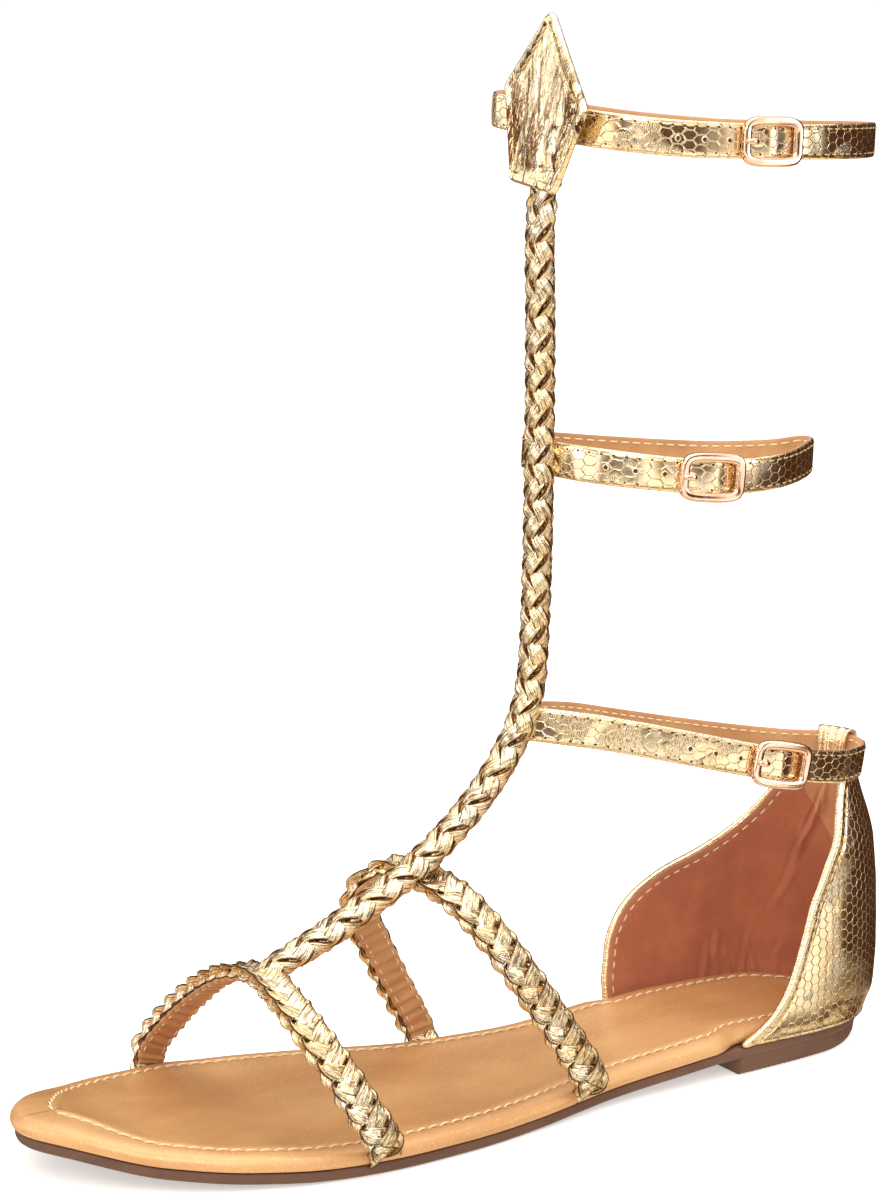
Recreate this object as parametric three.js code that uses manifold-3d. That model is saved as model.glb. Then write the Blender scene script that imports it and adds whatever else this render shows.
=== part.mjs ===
// Left gladiator sandal: flat moulded outsole with a low heel, padded insole, heel counter with a
// strap keeper, an upper of braided and buckled straps, a kite plaque and three buckles.
// Millimetres. The toe points to -Y, the outer side of the foot to +X, and the floor is z = 0.
// The origin is the middle of the heel's flat bottom.
import * as THREE from 'three';
import { mergeVertices } from 'three/addons/utils/BufferGeometryUtils.js';
import Module from 'manifold-3d';

// ---------- driving sizes ----------
const SOLE_LENGTH = 250;
const SOLE_BACK_Y = 40;
const TOE_SWING = -7;
const HEEL_ROUND = 26;
const TOE_ROUND = 45;
const OUTSOLE_THICK = 3;
const INSOLE_THICK = 4.2;
const GAP = 0.3;
const HEEL_BREAST_AT = 57;
const COUNTER_WALL = 1.8;
const STRAP_WIDE = 8.9;
const STRAP_THICK = 1.8;
const BRAID_WIDE = 9;
const BRAID_THICK = 3.5;
const SHIN_WIDE = 10.8;
const SHIN_THICK = 5.8;
const TUCK_THICK = 1.6;
const BUCKLE_LONG = 19;
const BUCKLE_HIGH = 12.6;
const BUCKLE_BAR = 1.8;
const PLAQUE_THICK = 1.9;

// Half-widths of the sole beside its centre line, `at` mm in front of the back of the heel,
// before the heel and toe are rounded off.
const OUTLINE = [
  { at: 0, lateral: 22, medial: 22.5 },
  { at: 35, lateral: 25.6, medial: 26.4 },
  { at: 60, lateral: 27, medial: 25.2 },
  { at: 95, lateral: 29.2, medial: 21.5 },
  { at: 125, lateral: 36, medial: 25.6 },
  { at: 150, lateral: 41, medial: 33 },
  { at: 170, lateral: 42.8, medial: 39.2 },
  { at: 190, lateral: 41.6, medial: 42.3 },
  { at: 208, lateral: 37, medial: 38.6 },
  { at: 226, lateral: 31.5, medial: 34.5 },
  { at: 238, lateral: 28.5, medial: 32 },
  { at: 250, lateral: 26, medial: 29 },
];

// Height of the outsole's underside, and how far its edge stands back from the outline.
const OUTSOLE = [
  { at: 0, lift: 3.8, inset: 4.6 },
  { at: 30, lift: 4.6, inset: 2.6 },
  { at: 57, lift: 4.6, inset: 1.2 },
  { at: 80, lift: 3.1, inset: 1 },
  { at: 110, lift: 1, inset: 1 },
  { at: 138, lift: 0, inset: 1 },
  { at: 178, lift: 0, inset: 1 },
  { at: 200, lift: 1, inset: 1 },
  { at: 225, lift: 3.3, inset: 1 },
  { at: 250, lift: 8, inset: 1 },
];

// How far the insole's edge stands back from the outline, where the counter wraps it.
const INSOLE_INSET = [
  { at: 0, lateral: 5.2, medial: 5.2 },
  { at: 25, lateral: 4, medial: 4 },
  { at: 57, lateral: 3.4, medial: 3.4 },
  { at: 66, lateral: 0, medial: 3.4 },
  { at: 69, lateral: 0, medial: 3.2 },
  { at: 77, lateral: 0, medial: 0 },
];

// The insole's rolled edge, from its underside up.
const INSOLE_EDGE = [
  { up: 0, inset: 0.8 },
  { up: 1, inset: 0 },
  { up: 2.6, inset: 0 },
  { up: 3.7, inset: 0.9 },
  { up: INSOLE_THICK, inset: 2.6 },
];

// How far forward each wing of the counter reaches at each height, and how far its outer face
// swells from the sole's outline at the back of the heel and at its sides.
const COUNTER = [
  { height: 7.2, lateral: 57, medial: 68.5, back: -2.8, side: -0.9 },
  { height: 10.5, lateral: 52.8, medial: 68.7, back: -1.8, side: -0.4 },
  { height: 14.5, lateral: 47.8, medial: 68.7, back: -0.3, side: 0 },
  { height: 20, lateral: 43.8, medial: 68, back: 0.2, side: 0.3 },
  { height: 26, lateral: 41.2, medial: 67, back: 0.5, side: 0.5 },
  { height: 32, lateral: 39.1, medial: 64.3, back: 0.5, side: 0.5 },
  { height: 38, lateral: 37, medial: 59, back: 0.4, side: 0.2 },
  { height: 43.5, lateral: 34.8, medial: 49.5, back: 0.3, side: -0.3 },
  { height: 48, lateral: 32, medial: 36.5, back: 0, side: -0.8 },
  { height: 54, lateral: 28.6, medial: 25, back: -0.5, side: -1.5 },
  { height: 62, lateral: 23, medial: 16, back: -1.3, side: -2.8 },
  { height: 70.5, lateral: 17, medial: 8, back: -2.5, side: -4.2 },
];

// Centre lines of the braids. The T runs from the toe strap up the instep and shin.
const SHIN_BRAID = [
  { y: -148.5, z: 41.5, wide: 9, thick: 4 },
  { y: -141, z: 44.8, wide: 11, thick: 5.5 },
  { y: -124.3, z: 52, wide: SHIN_WIDE, thick: SHIN_THICK },
  { y: -101, z: 64.9, wide: SHIN_WIDE, thick: SHIN_THICK },
  { y: -89, z: 74.3, wide: SHIN_WIDE, thick: SHIN_THICK },
  { y: -79.6, z: 84, wide: SHIN_WIDE, thick: SHIN_THICK },
  { y: -72.5, z: 94.5, wide: SHIN_WIDE, thick: SHIN_THICK },
  { y: -68.2, z: 106, wide: SHIN_WIDE, thick: SHIN_THICK },
  { y: -66.8, z: 120, wide: SHIN_WIDE, thick: SHIN_THICK },
  { y: -65.5, z: 160, wide: SHIN_WIDE, thick: SHIN_THICK },
  { y: -65.1, z: 200, wide: SHIN_WIDE, thick: SHIN_THICK },
  { y: -65.2, z: 222, wide: SHIN_WIDE, thick: SHIN_THICK },
  { y: -64.3, z: 232, wide: SHIN_WIDE, thick: 3 },
  { y: -63.4, z: 240, wide: SHIN_WIDE, thick: 2.8 },
  { y: -62.2, z: 251, wide: SHIN_WIDE, thick: 2.4 },
];

const TOE_BRAID = [
  { x: 30, y: -133.4, z: 4.3, thick: TUCK_THICK },
  { x: 36, y: -133.6, z: 4.3, thick: TUCK_THICK },
  { x: 39.7, y: -134.2, z: 6.4, thick: 2.6 },
  { x: 41, y: -135.8, z: 10.5, thick: BRAID_THICK },
  { x: 39, y: -139.8, z: 18, thick: BRAID_THICK },
  { x: 34.4, y: -143.5, z: 26.2, thick: BRAID_THICK },
  { x: 26.6, y: -146.4, z: 34, thick: BRAID_THICK },
  { x: 15, y: -147.4, z: 40, thick: BRAID_THICK },
  { x: 0, y: -146.6, z: 43, thick: BRAID_THICK },
  { x: -13, y: -147, z: 40.8, thick: BRAID_THICK },
  { x: -24, y: -148, z: 35.6, thick: BRAID_THICK },
  { x: -33, y: -149.6, z: 29, thick: BRAID_THICK },
  { x: -41, y: -152.2, z: 21, thick: BRAID_THICK },
  { x: -47.2, y: -154.8, z: 12.5, thick: BRAID_THICK },
  { x: -47.4, y: -155.6, z: 7.6, thick: 2.8 },
  { x: -43, y: -156, z: 4.9, thick: TUCK_THICK },
  { x: -37, y: -156, z: 4.9, thick: TUCK_THICK },
];

const INSTEP_BRAID = [
  { x: 21, y: -69.2, z: 5.3, thick: TUCK_THICK },
  { x: 26.5, y: -69.1, z: 5.3, thick: TUCK_THICK },
  { x: 30.2, y: -69.2, z: 7.4, thick: 2.6 },
  { x: 31.4, y: -70.2, z: 11.5, thick: BRAID_THICK },
  { x: 30.2, y: -75.3, z: 20.6, thick: BRAID_THICK },
  { x: 27.4, y: -82.7, z: 33.1, thick: BRAID_THICK },
  { x: 22, y: -91, z: 47.4, thick: BRAID_THICK },
  { x: 13, y: -97, z: 57.6, thick: BRAID_THICK },
  { x: 0, y: -99, z: 60.8, thick: BRAID_THICK },
  { x: -11, y: -98, z: 61, thick: BRAID_THICK },
  { x: -18.5, y: -101, z: 59.8, thick: BRAID_THICK },
  { x: -22, y: -105.6, z: 55, thick: BRAID_THICK },
  { x: -25, y: -104.6, z: 47, thick: BRAID_THICK },
  { x: -28.2, y: -98, z: 35, thick: BRAID_THICK },
  { x: -30.2, y: -91.2, z: 23, thick: BRAID_THICK },
  { x: -30.9, y: -85, z: 12, thick: BRAID_THICK },
  { x: -29.6, y: -83.4, z: 7.4, thick: 2.6 },
  { x: -25.6, y: -83, z: 5, thick: TUCK_THICK },
  { x: -20, y: -83, z: 5, thick: TUCK_THICK },
];

// The buckled straps: the centre line of each loop, from the front middle round the outer side.
// `buckleY` is where its buckle sits on the outer side.
const LEG_STRAPS = {
  top: {
    buckleY: -15,
    route: [
      { x: 0, y: -60.7, z: 249.2 },
      { x: 13, y: -59.6, z: 248.2 },
      { x: 21.5, y: -53.5, z: 247 },
      { x: 25.6, y: -41, z: 245.6 },
      { x: 26.8, y: -26, z: 244.7 },
      { x: 26, y: -8, z: 243.9 },
      { x: 22.6, y: 9, z: 243.4 },
      { x: 15, y: 25, z: 243 },
      { x: 5, y: 34.4, z: 242.8 },
      { x: -4, y: 33, z: 242.8 },
      { x: -15, y: 21, z: 243 },
      { x: -25, y: 2, z: 243.8 },
      { x: -32, y: -20, z: 246.2 },
      { x: -35, y: -40, z: 249.4 },
      { x: -34.4, y: -54, z: 251.8 },
      { x: -28, y: -60.6, z: 251.6 },
      { x: -14, y: -61, z: 250.4 },
    ],
  },
  calf: {
    buckleY: -31,
    route: [
      { x: 0, y: -62, z: 165 },
      { x: 12, y: -58, z: 164.4 },
      { x: 20, y: -49.5, z: 163.2 },
      { x: 24.6, y: -36.5, z: 161.5 },
      { x: 25, y: -22, z: 160.2 },
      { x: 21.6, y: -6, z: 160 },
      { x: 14, y: 7, z: 160.4 },
      { x: 6, y: 15.6, z: 160.8 },
      { x: 0.6, y: 17, z: 160.6 },
      { x: -2.4, y: 10, z: 159.8 },
      { x: -6, y: -5, z: 160 },
      { x: -9, y: -22, z: 161.4 },
      { x: -12, y: -40, z: 163.4 },
      { x: -14.4, y: -54, z: 165 },
      { x: -13.4, y: -61, z: 165.4 },
      { x: -7, y: -62.2, z: 165.2 },
    ],
  },
  ankle: {
    buckleY: -6,
    route: [
      { x: 0, y: -68.8, z: 97.2 },
      { x: 5, y: -64.4, z: 96.6 },
      { x: 10.6, y: -54.6, z: 95 },
      { x: 15.6, y: -43, z: 92.4 },
      { x: 20, y: -28, z: 88.6 },
      { x: 22.4, y: -12, z: 84.4 },
      { x: 21, y: 4, z: 80.8 },
      { x: 16.5, y: 20, z: 77.7 },
      { x: 8.6, y: 32.4, z: 76.4 },
      { x: 0, y: 36.8, z: 76.1 },
      { x: -8.6, y: 33.4, z: 76.4 },
      { x: -13.6, y: 22, z: 77.4 },
      { x: -15, y: 5, z: 80.6 },
      { x: -14, y: -15, z: 85.2 },
      { x: -11.6, y: -35, z: 90.2 },
      { x: -8.4, y: -52, z: 94.6 },
      { x: -4.8, y: -63.6, z: 96.6 },
    ],
  },
};
const STRAP_STEPS = 46;
const KEEPER = { from: 0.515, to: 0.555, wall: 1.1, room: 0.6 };

// The kite plaque: each corner beside the shin's middle and above the hem. It hangs a little
// lower on its outer side.
const PLAQUE_HEM = { y: -66.2, z: 233 };
const PLAQUE_LEAN = 0.116;
const PLAQUE = [
  { x: 10.1, up: -1.3 },
  { x: 20.8, up: 20 },
  { x: 1.8, up: 43.3 },
  { x: 0, up: 43.3 },
  { x: -17.2, up: 25.2 },
  { x: -10.1, up: 1.3 },
];

const wasm = await Module();
wasm.setup();

// ---------- numbers and curves ----------
const mix = (a, b, t) => a + (b - a) * t;
const clamp01 = (t) => Math.min(1, Math.max(0, t));

// Reads one column of a table at any place: straight at its ends, with no overshoot between rows.
function column(table, key, value, at) {
  const slope = (i) => {
    if (i <= 0 || i >= table.length - 1) return 0;
    const before = (table[i][value] - table[i - 1][value]) / (table[i][key] - table[i - 1][key]);
    const after = (table[i + 1][value] - table[i][value]) / (table[i + 1][key] - table[i][key]);
    return before * after <= 0 ? 0 : (2 * before * after) / (before + after);
  };
  const last = table.length - 2;
  let i = table.findIndex((row, n) => n <= last && at <= table[n + 1][key]);
  if (i < 0) i = last;
  const span = table[i + 1][key] - table[i][key];
  const t = clamp01((at - table[i][key]) / span);
  const ease = t * t * (3 - 2 * t);
  const rise = span * (slope(i) * t * (1 - t) ** 2 - slope(i + 1) * t * t * (1 - t));
  return mix(table[i][value], table[i + 1][value], ease) + rise;
}

// ---------- closed solids from rings of points ----------
function signedVolume(points, faces) {
  let sum = 0;
  for (let i = 0; i < faces.length; i += 3) {
    const [a, b, c] = [points[faces[i]], points[faces[i + 1]], points[faces[i + 2]]];
    sum += a.dot(new THREE.Vector3().crossVectors(b, c));
  }
  return sum / 6;
}

// Joins rings of equally many points into one closed solid; an open row of rings gets two caps.
function loft(rings, { closed = false } = {}) {
  const count = rings[0].length;
  const points = rings.flat();
  const faces = [];
  const quad = (a, b, c, d) => faces.push(a, b, c, a, c, d);
  const bands = closed ? rings.length : rings.length - 1;
  for (let r = 0; r < bands; r++) {
    const next = (r + 1) % rings.length;
    for (let i = 0; i < count; i++) {
      const j = (i + 1) % count;
      quad(r * count + i, r * count + j, next * count + j, next * count + i);
    }
  }
  if (!closed) {
    const top = (rings.length - 1) * count;
    for (let i = 0; i < count / 2 - 1; i++) {
      const j = count - 1 - i;
      quad(j, j - 1, i + 1, i);
      quad(top + i, top + i + 1, top + j - 1, top + j);
    }
  }
  if (signedVolume(points, faces) < 0) faces.reverse();
  const geometry = new THREE.BufferGeometry().setFromPoints(points);
  geometry.setIndex(faces);
  return geometry;
}

function toSolid(geometry) {
  const bare = geometry.clone();
  bare.deleteAttribute('normal');
  bare.deleteAttribute('uv');
  const welded = mergeVertices(bare, 1e-4);
  const index = welded.index.array;
  const kept = [];
  for (let i = 0; i < index.length; i += 3) {
    const [a, b, c] = [index[i], index[i + 1], index[i + 2]];
    if (a !== b && b !== c && c !== a) kept.push(a, b, c);
  }
  return new wasm.Manifold(new wasm.Mesh({
    numProp: 3,
    vertProperties: new Float32Array(welded.attributes.position.array),
    triVerts: new Uint32Array(kept),
  }));
}

function toGeometry(solid) {
  const mesh = solid.getMesh();
  const geometry = new THREE.BufferGeometry();
  geometry.setAttribute('position', new THREE.BufferAttribute(mesh.vertProperties, 3));
  geometry.setIndex(new THREE.BufferAttribute(mesh.triVerts, 1));
  return geometry;
}

// ---------- the sole's outline ----------
// `turn` runs round the outline: 0 at the back of the heel, positive on the outer side,
// and plus or minus pi at the toe.
const stationOf = (turn) => (SOLE_LENGTH * (1 - Math.cos(turn))) / 2;
const turnOf = (station) => Math.acos(1 - (2 * station) / SOLE_LENGTH);

function roundedEnds(station) {
  const heel = clamp01((HEEL_ROUND - station) / HEEL_ROUND);
  const toe = clamp01((station - SOLE_LENGTH + TOE_ROUND) / TOE_ROUND);
  return Math.sqrt(1 - heel * heel) * Math.sqrt(1 - toe * toe);
}

function outlinePoint(turn) {
  const station = stationOf(turn);
  const side = turn < 0 ? 'medial' : 'lateral';
  const half = column(OUTLINE, 'at', side, station) * roundedEnds(station);
  const centre = (TOE_SWING * station) / SOLE_LENGTH;
  return new THREE.Vector2(centre + (turn < 0 ? -half : half), SOLE_BACK_Y - station);
}

// A point moved squarely out of the outline by `out`.
function besideOutline(turn, out) {
  const step = 0.03;
  const along = outlinePoint(turn + step).sub(outlinePoint(turn - step)).normalize();
  return outlinePoint(turn).add(new THREE.Vector2(-along.y, along.x).multiplyScalar(out));
}

function outlineRing(turns, outAt, heightAt) {
  return turns.map((turn) => {
    const station = stationOf(turn);
    const point = besideOutline(turn, outAt(turn, station));
    return new THREE.Vector3(point.x, point.y, heightAt(station));
  });
}

const liftAt = (station) => column(OUTSOLE, 'at', 'lift', station);
const insetAt = (station) => column(OUTSOLE, 'at', 'inset', station);

const ROUND_STEPS = 64;
const wholeTurn = Array.from({ length: ROUND_STEPS }, (_, i) => (
  Math.PI * (-1 + (2 * i + 1) / ROUND_STEPS)
));

// ---------- outsole: a thin moulded sheet with a low heel ----------
function outsoleSolid() {
  const edge = [
    { up: 0, inset: 1.2 },
    { up: 1, inset: 0 },
    { up: OUTSOLE_THICK, inset: 0 },
  ];
  const sheet = loft(edge.map((row) => outlineRing(
    wholeTurn,
    (turn, station) => -insetAt(station) - row.inset,
    (station) => liftAt(station) + row.up,
  )));
  const breast = turnOf(HEEL_BREAST_AT);
  const heelTurns = Array.from({ length: 28 }, (_, i) => breast * (-1 + (2 * i) / 27));
  const heelRing = (inset, heightAt) => outlineRing(
    heelTurns,
    (turn, station) => -insetAt(station) - inset,
    heightAt,
  );
  const heel = loft([
    heelRing(1.6, () => 0),
    heelRing(1, () => 0.8),
    heelRing(0.5, (station) => liftAt(station) + OUTSOLE_THICK - 0.4),
  ]);
  return toSolid(sheet).add(toSolid(heel));
}

// ---------- insole: padded, with a rolled edge, notched where the braids tuck under it ----------
function insoleSolid(tucks) {
  const sideInset = (turn, station) => (
    column(INSOLE_INSET, 'at', turn < 0 ? 'medial' : 'lateral', Math.min(station, 77))
  );
  const body = loft(INSOLE_EDGE.map((row) => outlineRing(
    wholeTurn,
    (turn, station) => -sideInset(turn, station) - row.inset,
    (station) => liftAt(station) + OUTSOLE_THICK + GAP + row.up,
  )));
  return tucks.reduce((solid, tuck) => solid.subtract(tuck), toSolid(body));
}

// ---------- heel counter: a thin wall with two wings ----------
function counterWall() {
  const columns = 26;
  const backward = (station) => 1 - clamp01(station / 32) ** 1.5;
  const wallPoint = (row, across, inward) => {
    const turn = mix(-turnOf(row.medial), turnOf(row.lateral), across);
    const station = stationOf(turn);
    const swell = mix(row.side, row.back, backward(station));
    const point = besideOutline(turn, swell - inward);
    const sunk = 1 - clamp01((row.height - COUNTER[0].height) / 30);
    const floorRise = (liftAt(station) + OUTSOLE_THICK + GAP - COUNTER[0].height) * sunk;
    return new THREE.Vector3(point.x, point.y, row.height + floorRise);
  };
  const rings = Array.from({ length: columns }, (_, i) => {
    const across = i / (columns - 1);
    const outer = COUNTER.map((row) => wallPoint(row, across, 0));
    const inner = COUNTER.map((row) => wallPoint(row, across, COUNTER_WALL));
    return [...outer, ...inner.reverse()];
  });
  return toSolid(loft(rings));
}

// ---------- straps and braids swept along their centre lines ----------
const FLAT_SECTION = [
  [1, -0.4], [1, 0.4], [0.86, 1], [-0.86, 1], [-1, 0.4], [-1, -0.4], [-0.86, -1], [0.86, -1],
];
const ROUND_SECTION = Array.from({ length: 10 }, (_, i) => {
  const angle = (i * Math.PI) / 5 + 0.1 * Math.PI;
  const pull = (value) => Math.sign(value) * Math.abs(value) ** 0.75;
  return [pull(Math.cos(angle)), pull(Math.sin(angle))];
});

// `frames` hold a point, the direction across the strap and the direction out of its face.
function sweep(frames, section, { closed = false } = {}) {
  return loft(frames.map(({ point, across, out, wide, thick }) => section.map(([a, b]) => (
    point.clone()
      .addScaledVector(across, (a * wide) / 2)
      .addScaledVector(out, (b * thick) / 2)
  ))), { closed });
}

function frameAt(curve, u, facing) {
  const point = curve.getPointAt(u);
  const along = curve.getTangentAt(u);
  const toward = facing(point);
  const out = toward.addScaledVector(along, -toward.dot(along)).normalize();
  return { point, along, out, across: new THREE.Vector3().crossVectors(out, along) };
}

// A braid through a table of rows, facing away from a line inside the foot.
function braidFrames(rows, steps, inside, grow = 0) {
  const curve = new THREE.CatmullRomCurve3(
    rows.map((row) => new THREE.Vector3(row.x ?? 0, row.y, row.z)), false, 'centripetal',
  );
  curve.arcLengthDivisions = 800;
  const facing = (point) => {
    const { y, z } = inside(point);
    return new THREE.Vector3(point.x, point.y - y, point.z - z);
  };
  return Array.from({ length: steps + 1 }, (_, i) => {
    const frame = frameAt(curve, i / steps, facing);
    const t = curve.getUtoTmapping(i / steps) * (rows.length - 1);
    const row = Math.min(Math.floor(t), rows.length - 2);
    const read = (key, otherwise) => mix(
      rows[row][key] ?? otherwise, rows[row + 1][key] ?? otherwise, t - row,
    );
    frame.wide = read('wide', BRAID_WIDE) + 2 * grow;
    frame.thick = read('thick', BRAID_THICK) + 2 * grow;
    return frame;
  });
}

const SHIN_STEPS = 40;
const TOE_STEPS = 34;
const INSTEP_STEPS = 38;
const insideToeBraid = (point) => ({ y: point.y, z: 16 });
const insideInstepBraid = (point) => ({ y: point.y + 0.25 * (point.z - 20), z: 24 });
const behindShin = () => ({ y: 60, z: 0 });

// The buckled strap's closed centre line, and its frame at any share `u` of its length.
function legCurve({ route }) {
  const points = route.map(({ x, y, z }) => new THREE.Vector3(x, y, z));
  const curve = new THREE.CatmullRomCurve3(points, true, 'centripetal');
  curve.arcLengthDivisions = 800;
  return curve;
}

function legFrame(curve, u) {
  const point = curve.getPointAt(u % 1);
  const along = curve.getTangentAt(u % 1);
  const rear = curve.points.reduce((a, b) => (b.y > a.y ? b : a));
  const front = curve.points[0];
  const lean = (rear.z - front.z) / (rear.y - front.y);
  const up = new THREE.Vector3(0, -lean, 1).normalize();
  const across = up.addScaledVector(along, -up.dot(along)).normalize();
  return { point, along, across, out: new THREE.Vector3().crossVectors(along, across) };
}

function buckleShare(curve, buckleY) {
  let best = 0;
  for (let u = 0.1; u < 0.5; u += 0.001) {
    const miss = (share) => Math.abs(curve.getPointAt(share).y - buckleY);
    if (miss(u) < miss(best)) best = u;
  }
  return best;
}

// The strap lifts a little where it passes over its buckle's bar.
const BAR_LIFT = 1.2;
const LIFT_LENGTH = 5;

function legStrapSolid(strap) {
  const curve = legCurve(strap);
  const length = curve.getLength();
  const centre = buckleShare(curve, strap.buckleY);
  const steps = Array.from({ length: STRAP_STEPS }, (_, i) => i / STRAP_STEPS);
  const nearBuckle = [-1.5, -1, -0.5, 0, 0.5, 1, 1.5].map((n) => centre + (n * LIFT_LENGTH) / length);
  const clear = (u) => Math.abs(u - centre) * length > LIFT_LENGTH * 1.9;
  const shares = [...steps.filter(clear), ...nearBuckle].sort((a, b) => a - b);
  const frames = shares.map((u) => {
    const frame = legFrame(curve, u);
    const away = ((u - centre) * length) / LIFT_LENGTH;
    frame.point.addScaledVector(frame.out, BAR_LIFT * Math.exp(-away * away));
    return { ...frame, wide: STRAP_WIDE, thick: STRAP_THICK };
  });
  return toSolid(sweep(frames, FLAT_SECTION, { closed: true }));
}

// A stretch of a leg strap's own path, as a bar of another section.
function alongStrap(strap, from, to, wide, thick) {
  const curve = legCurve(strap);
  const steps = 6;
  const frames = Array.from({ length: steps + 1 }, (_, i) => (
    { ...legFrame(curve, mix(from, to, i / steps)), wide, thick }
  ));
  return toSolid(sweep(frames, FLAT_SECTION));
}

// ---------- heel counter with the keeper that holds the ankle strap ----------
function counterSolid() {
  const { from, to, wall, room } = KEEPER;
  const spare = 0.01;
  const hole = [STRAP_WIDE + 2 * room, STRAP_THICK + 2 * room];
  const band = alongStrap(LEG_STRAPS.ankle, from, to, hole[0] + 2 * wall, hole[1] + 2 * wall);
  const tunnel = alongStrap(LEG_STRAPS.ankle, from - spare, to + spare, hole[0], hole[1]);
  return counterWall().add(band).subtract(tunnel);
}

// ---------- buckles: a rounded frame, a bar under the strap and a prong through it ----------
function roundedRectangle(path, long, high, radius) {
  const [x, y] = [long / 2, high / 2];
  path.moveTo(-x + radius, -y);
  path.lineTo(x - radius, -y);
  path.absarc(x - radius, -y + radius, radius, -Math.PI / 2, 0, false);
  path.lineTo(x, y - radius);
  path.absarc(x - radius, y - radius, radius, 0, Math.PI / 2, false);
  path.lineTo(-x + radius, y);
  path.absarc(-x + radius, y - radius, radius, Math.PI / 2, Math.PI, false);
  path.lineTo(-x, -y + radius);
  path.absarc(-x + radius, -y + radius, radius, Math.PI, 1.5 * Math.PI, false);
  return path;
}

const FRAME_UNDER = STRAP_THICK / 2 + 0.45;
const BAR_CENTRE = BAR_LIFT - STRAP_THICK / 2 - GAP - BUCKLE_BAR / 2;

function prongFrames(grow) {
  const onFrame = FRAME_UNDER + BUCKLE_BAR + 0.35;
  const route = [
    { x: 0, z: BAR_CENTRE }, { x: -2.6, z: BAR_CENTRE - 0.1 }, { x: -4.4, z: BAR_CENTRE + 1.6 },
    { x: -6, z: onFrame - 0.5 }, { x: -7.6, z: onFrame }, { x: -9.4, z: onFrame - 0.1 },
  ];
  const curve = new THREE.CatmullRomCurve3(route.map(({ x, z }) => new THREE.Vector3(x, 0, z)));
  return Array.from({ length: 11 }, (_, i) => ({
    ...frameAt(curve, i / 10, () => new THREE.Vector3(0, 0, 1)),
    wide: 1.6 + 2 * grow,
    thick: 1.2 + 2 * grow,
  }));
}

function buckleSolid() {
  const wall = 1.9;
  const outline = roundedRectangle(new THREE.Shape(), BUCKLE_LONG, BUCKLE_HIGH, 3.6);
  const inner = [BUCKLE_LONG - 2 * wall, BUCKLE_HIGH - 2 * wall + 0.4];
  outline.holes.push(roundedRectangle(new THREE.Path(), inner[0], inner[1], 2));
  const ring = new THREE.ExtrudeGeometry(outline, {
    depth: BUCKLE_BAR, bevelEnabled: false, curveSegments: 4, steps: 1,
  });
  ring.translate(0, 0, FRAME_UNDER);
  const bar = new THREE.BoxGeometry(BUCKLE_BAR, BUCKLE_HIGH - 0.4, BUCKLE_BAR);
  bar.translate(0, 0, BAR_CENTRE);
  const post = (side) => {
    const base = BAR_CENTRE - BUCKLE_BAR / 2;
    const box = new THREE.BoxGeometry(BUCKLE_BAR, 1.2, FRAME_UNDER + 0.4 - base);
    box.translate(0, side * (BUCKLE_HIGH / 2 - 0.8), (FRAME_UNDER + 0.4 + base) / 2);
    return toSolid(box);
  };
  return toSolid(ring).add(toSolid(bar)).add(post(1)).add(post(-1))
    .add(toSolid(sweep(prongFrames(0), ROUND_SECTION)));
}

// Places a solid made in the strap's own axes: x along it, y across it, z out of its face.
function onStrap(solid, strap) {
  const curve = legCurve(strap);
  const frame = legFrame(curve, buckleShare(curve, strap.buckleY));
  const place = new THREE.Matrix4().makeBasis(frame.along, frame.across, frame.out);
  place.setPosition(frame.point);
  return solid.transform(place.elements);
}

// ---------- upper: every strap of the sandal, joined where they cross ----------
function upperSolid() {
  const shin = toSolid(sweep(braidFrames(SHIN_BRAID, SHIN_STEPS, behindShin), ROUND_SECTION));
  const toe = toSolid(sweep(braidFrames(TOE_BRAID, TOE_STEPS, insideToeBraid), ROUND_SECTION));
  const instepFrames = braidFrames(INSTEP_BRAID, INSTEP_STEPS, insideInstepBraid);
  const instep = toSolid(sweep(instepFrames, ROUND_SECTION));
  const prongHole = toSolid(sweep(prongFrames(0.35), ROUND_SECTION));
  const straps = Object.values(LEG_STRAPS).map((strap) => (
    legStrapSolid(strap).subtract(onStrap(prongHole, strap))
  ));
  return [toe, instep, ...straps].reduce((joined, strap) => joined.add(strap), shin);
}

// ---------- plaque: a flat kite leaning back with the shin ----------
function plaqueSolid() {
  const shape = new THREE.Shape(PLAQUE.map(({ x, up }) => new THREE.Vector2(x, up)));
  const geometry = new THREE.ExtrudeGeometry(shape, { depth: PLAQUE_THICK, bevelEnabled: false });
  geometry.rotateX(Math.PI / 2 - Math.atan(PLAQUE_LEAN));
  geometry.translate(0, PLAQUE_HEM.y, PLAQUE_HEM.z);
  return toSolid(geometry);
}

// ---------- materials and scene graph ----------
const material = (color, roughness, metalness) => (
  new THREE.MeshStandardMaterial({ color, roughness, metalness })
);
const goldFoil = material(0xd9ae62, 0.25, 0.9);
const roseGold = material(0xf0c3a0, 0.15, 1);
const brownRubber = material(0x7a5848, 0.6, 0);
const tanLining = material(0xc8935f, 0.5, 0);

const sandal = new THREE.Group();

function addPiece(name, solid, look) {
  const mesh = new THREE.Mesh(toGeometry(solid), look);
  mesh.name = name;
  sandal.add(mesh);
}

const TUCK_ROOM = GAP + 0.1;
const tucks = [
  braidFrames(TOE_BRAID, TOE_STEPS, insideToeBraid, TUCK_ROOM),
  braidFrames(INSTEP_BRAID, INSTEP_STEPS, insideInstepBraid, TUCK_ROOM),
].map((frames) => toSolid(sweep(frames, ROUND_SECTION)));

addPiece('outsole', outsoleSolid(), brownRubber);
addPiece('insole', insoleSolid(tucks), tanLining);
addPiece('heel_counter', counterSolid(), goldFoil);
addPiece('upper', upperSolid(), goldFoil);
addPiece('plaque', plaqueSolid(), goldFoil);
for (const [name, strap] of Object.entries(LEG_STRAPS)) {
  addPiece(`${name}_buckle`, onStrap(buckleSolid(), strap), roseGold);
}

export default sandal;
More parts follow.
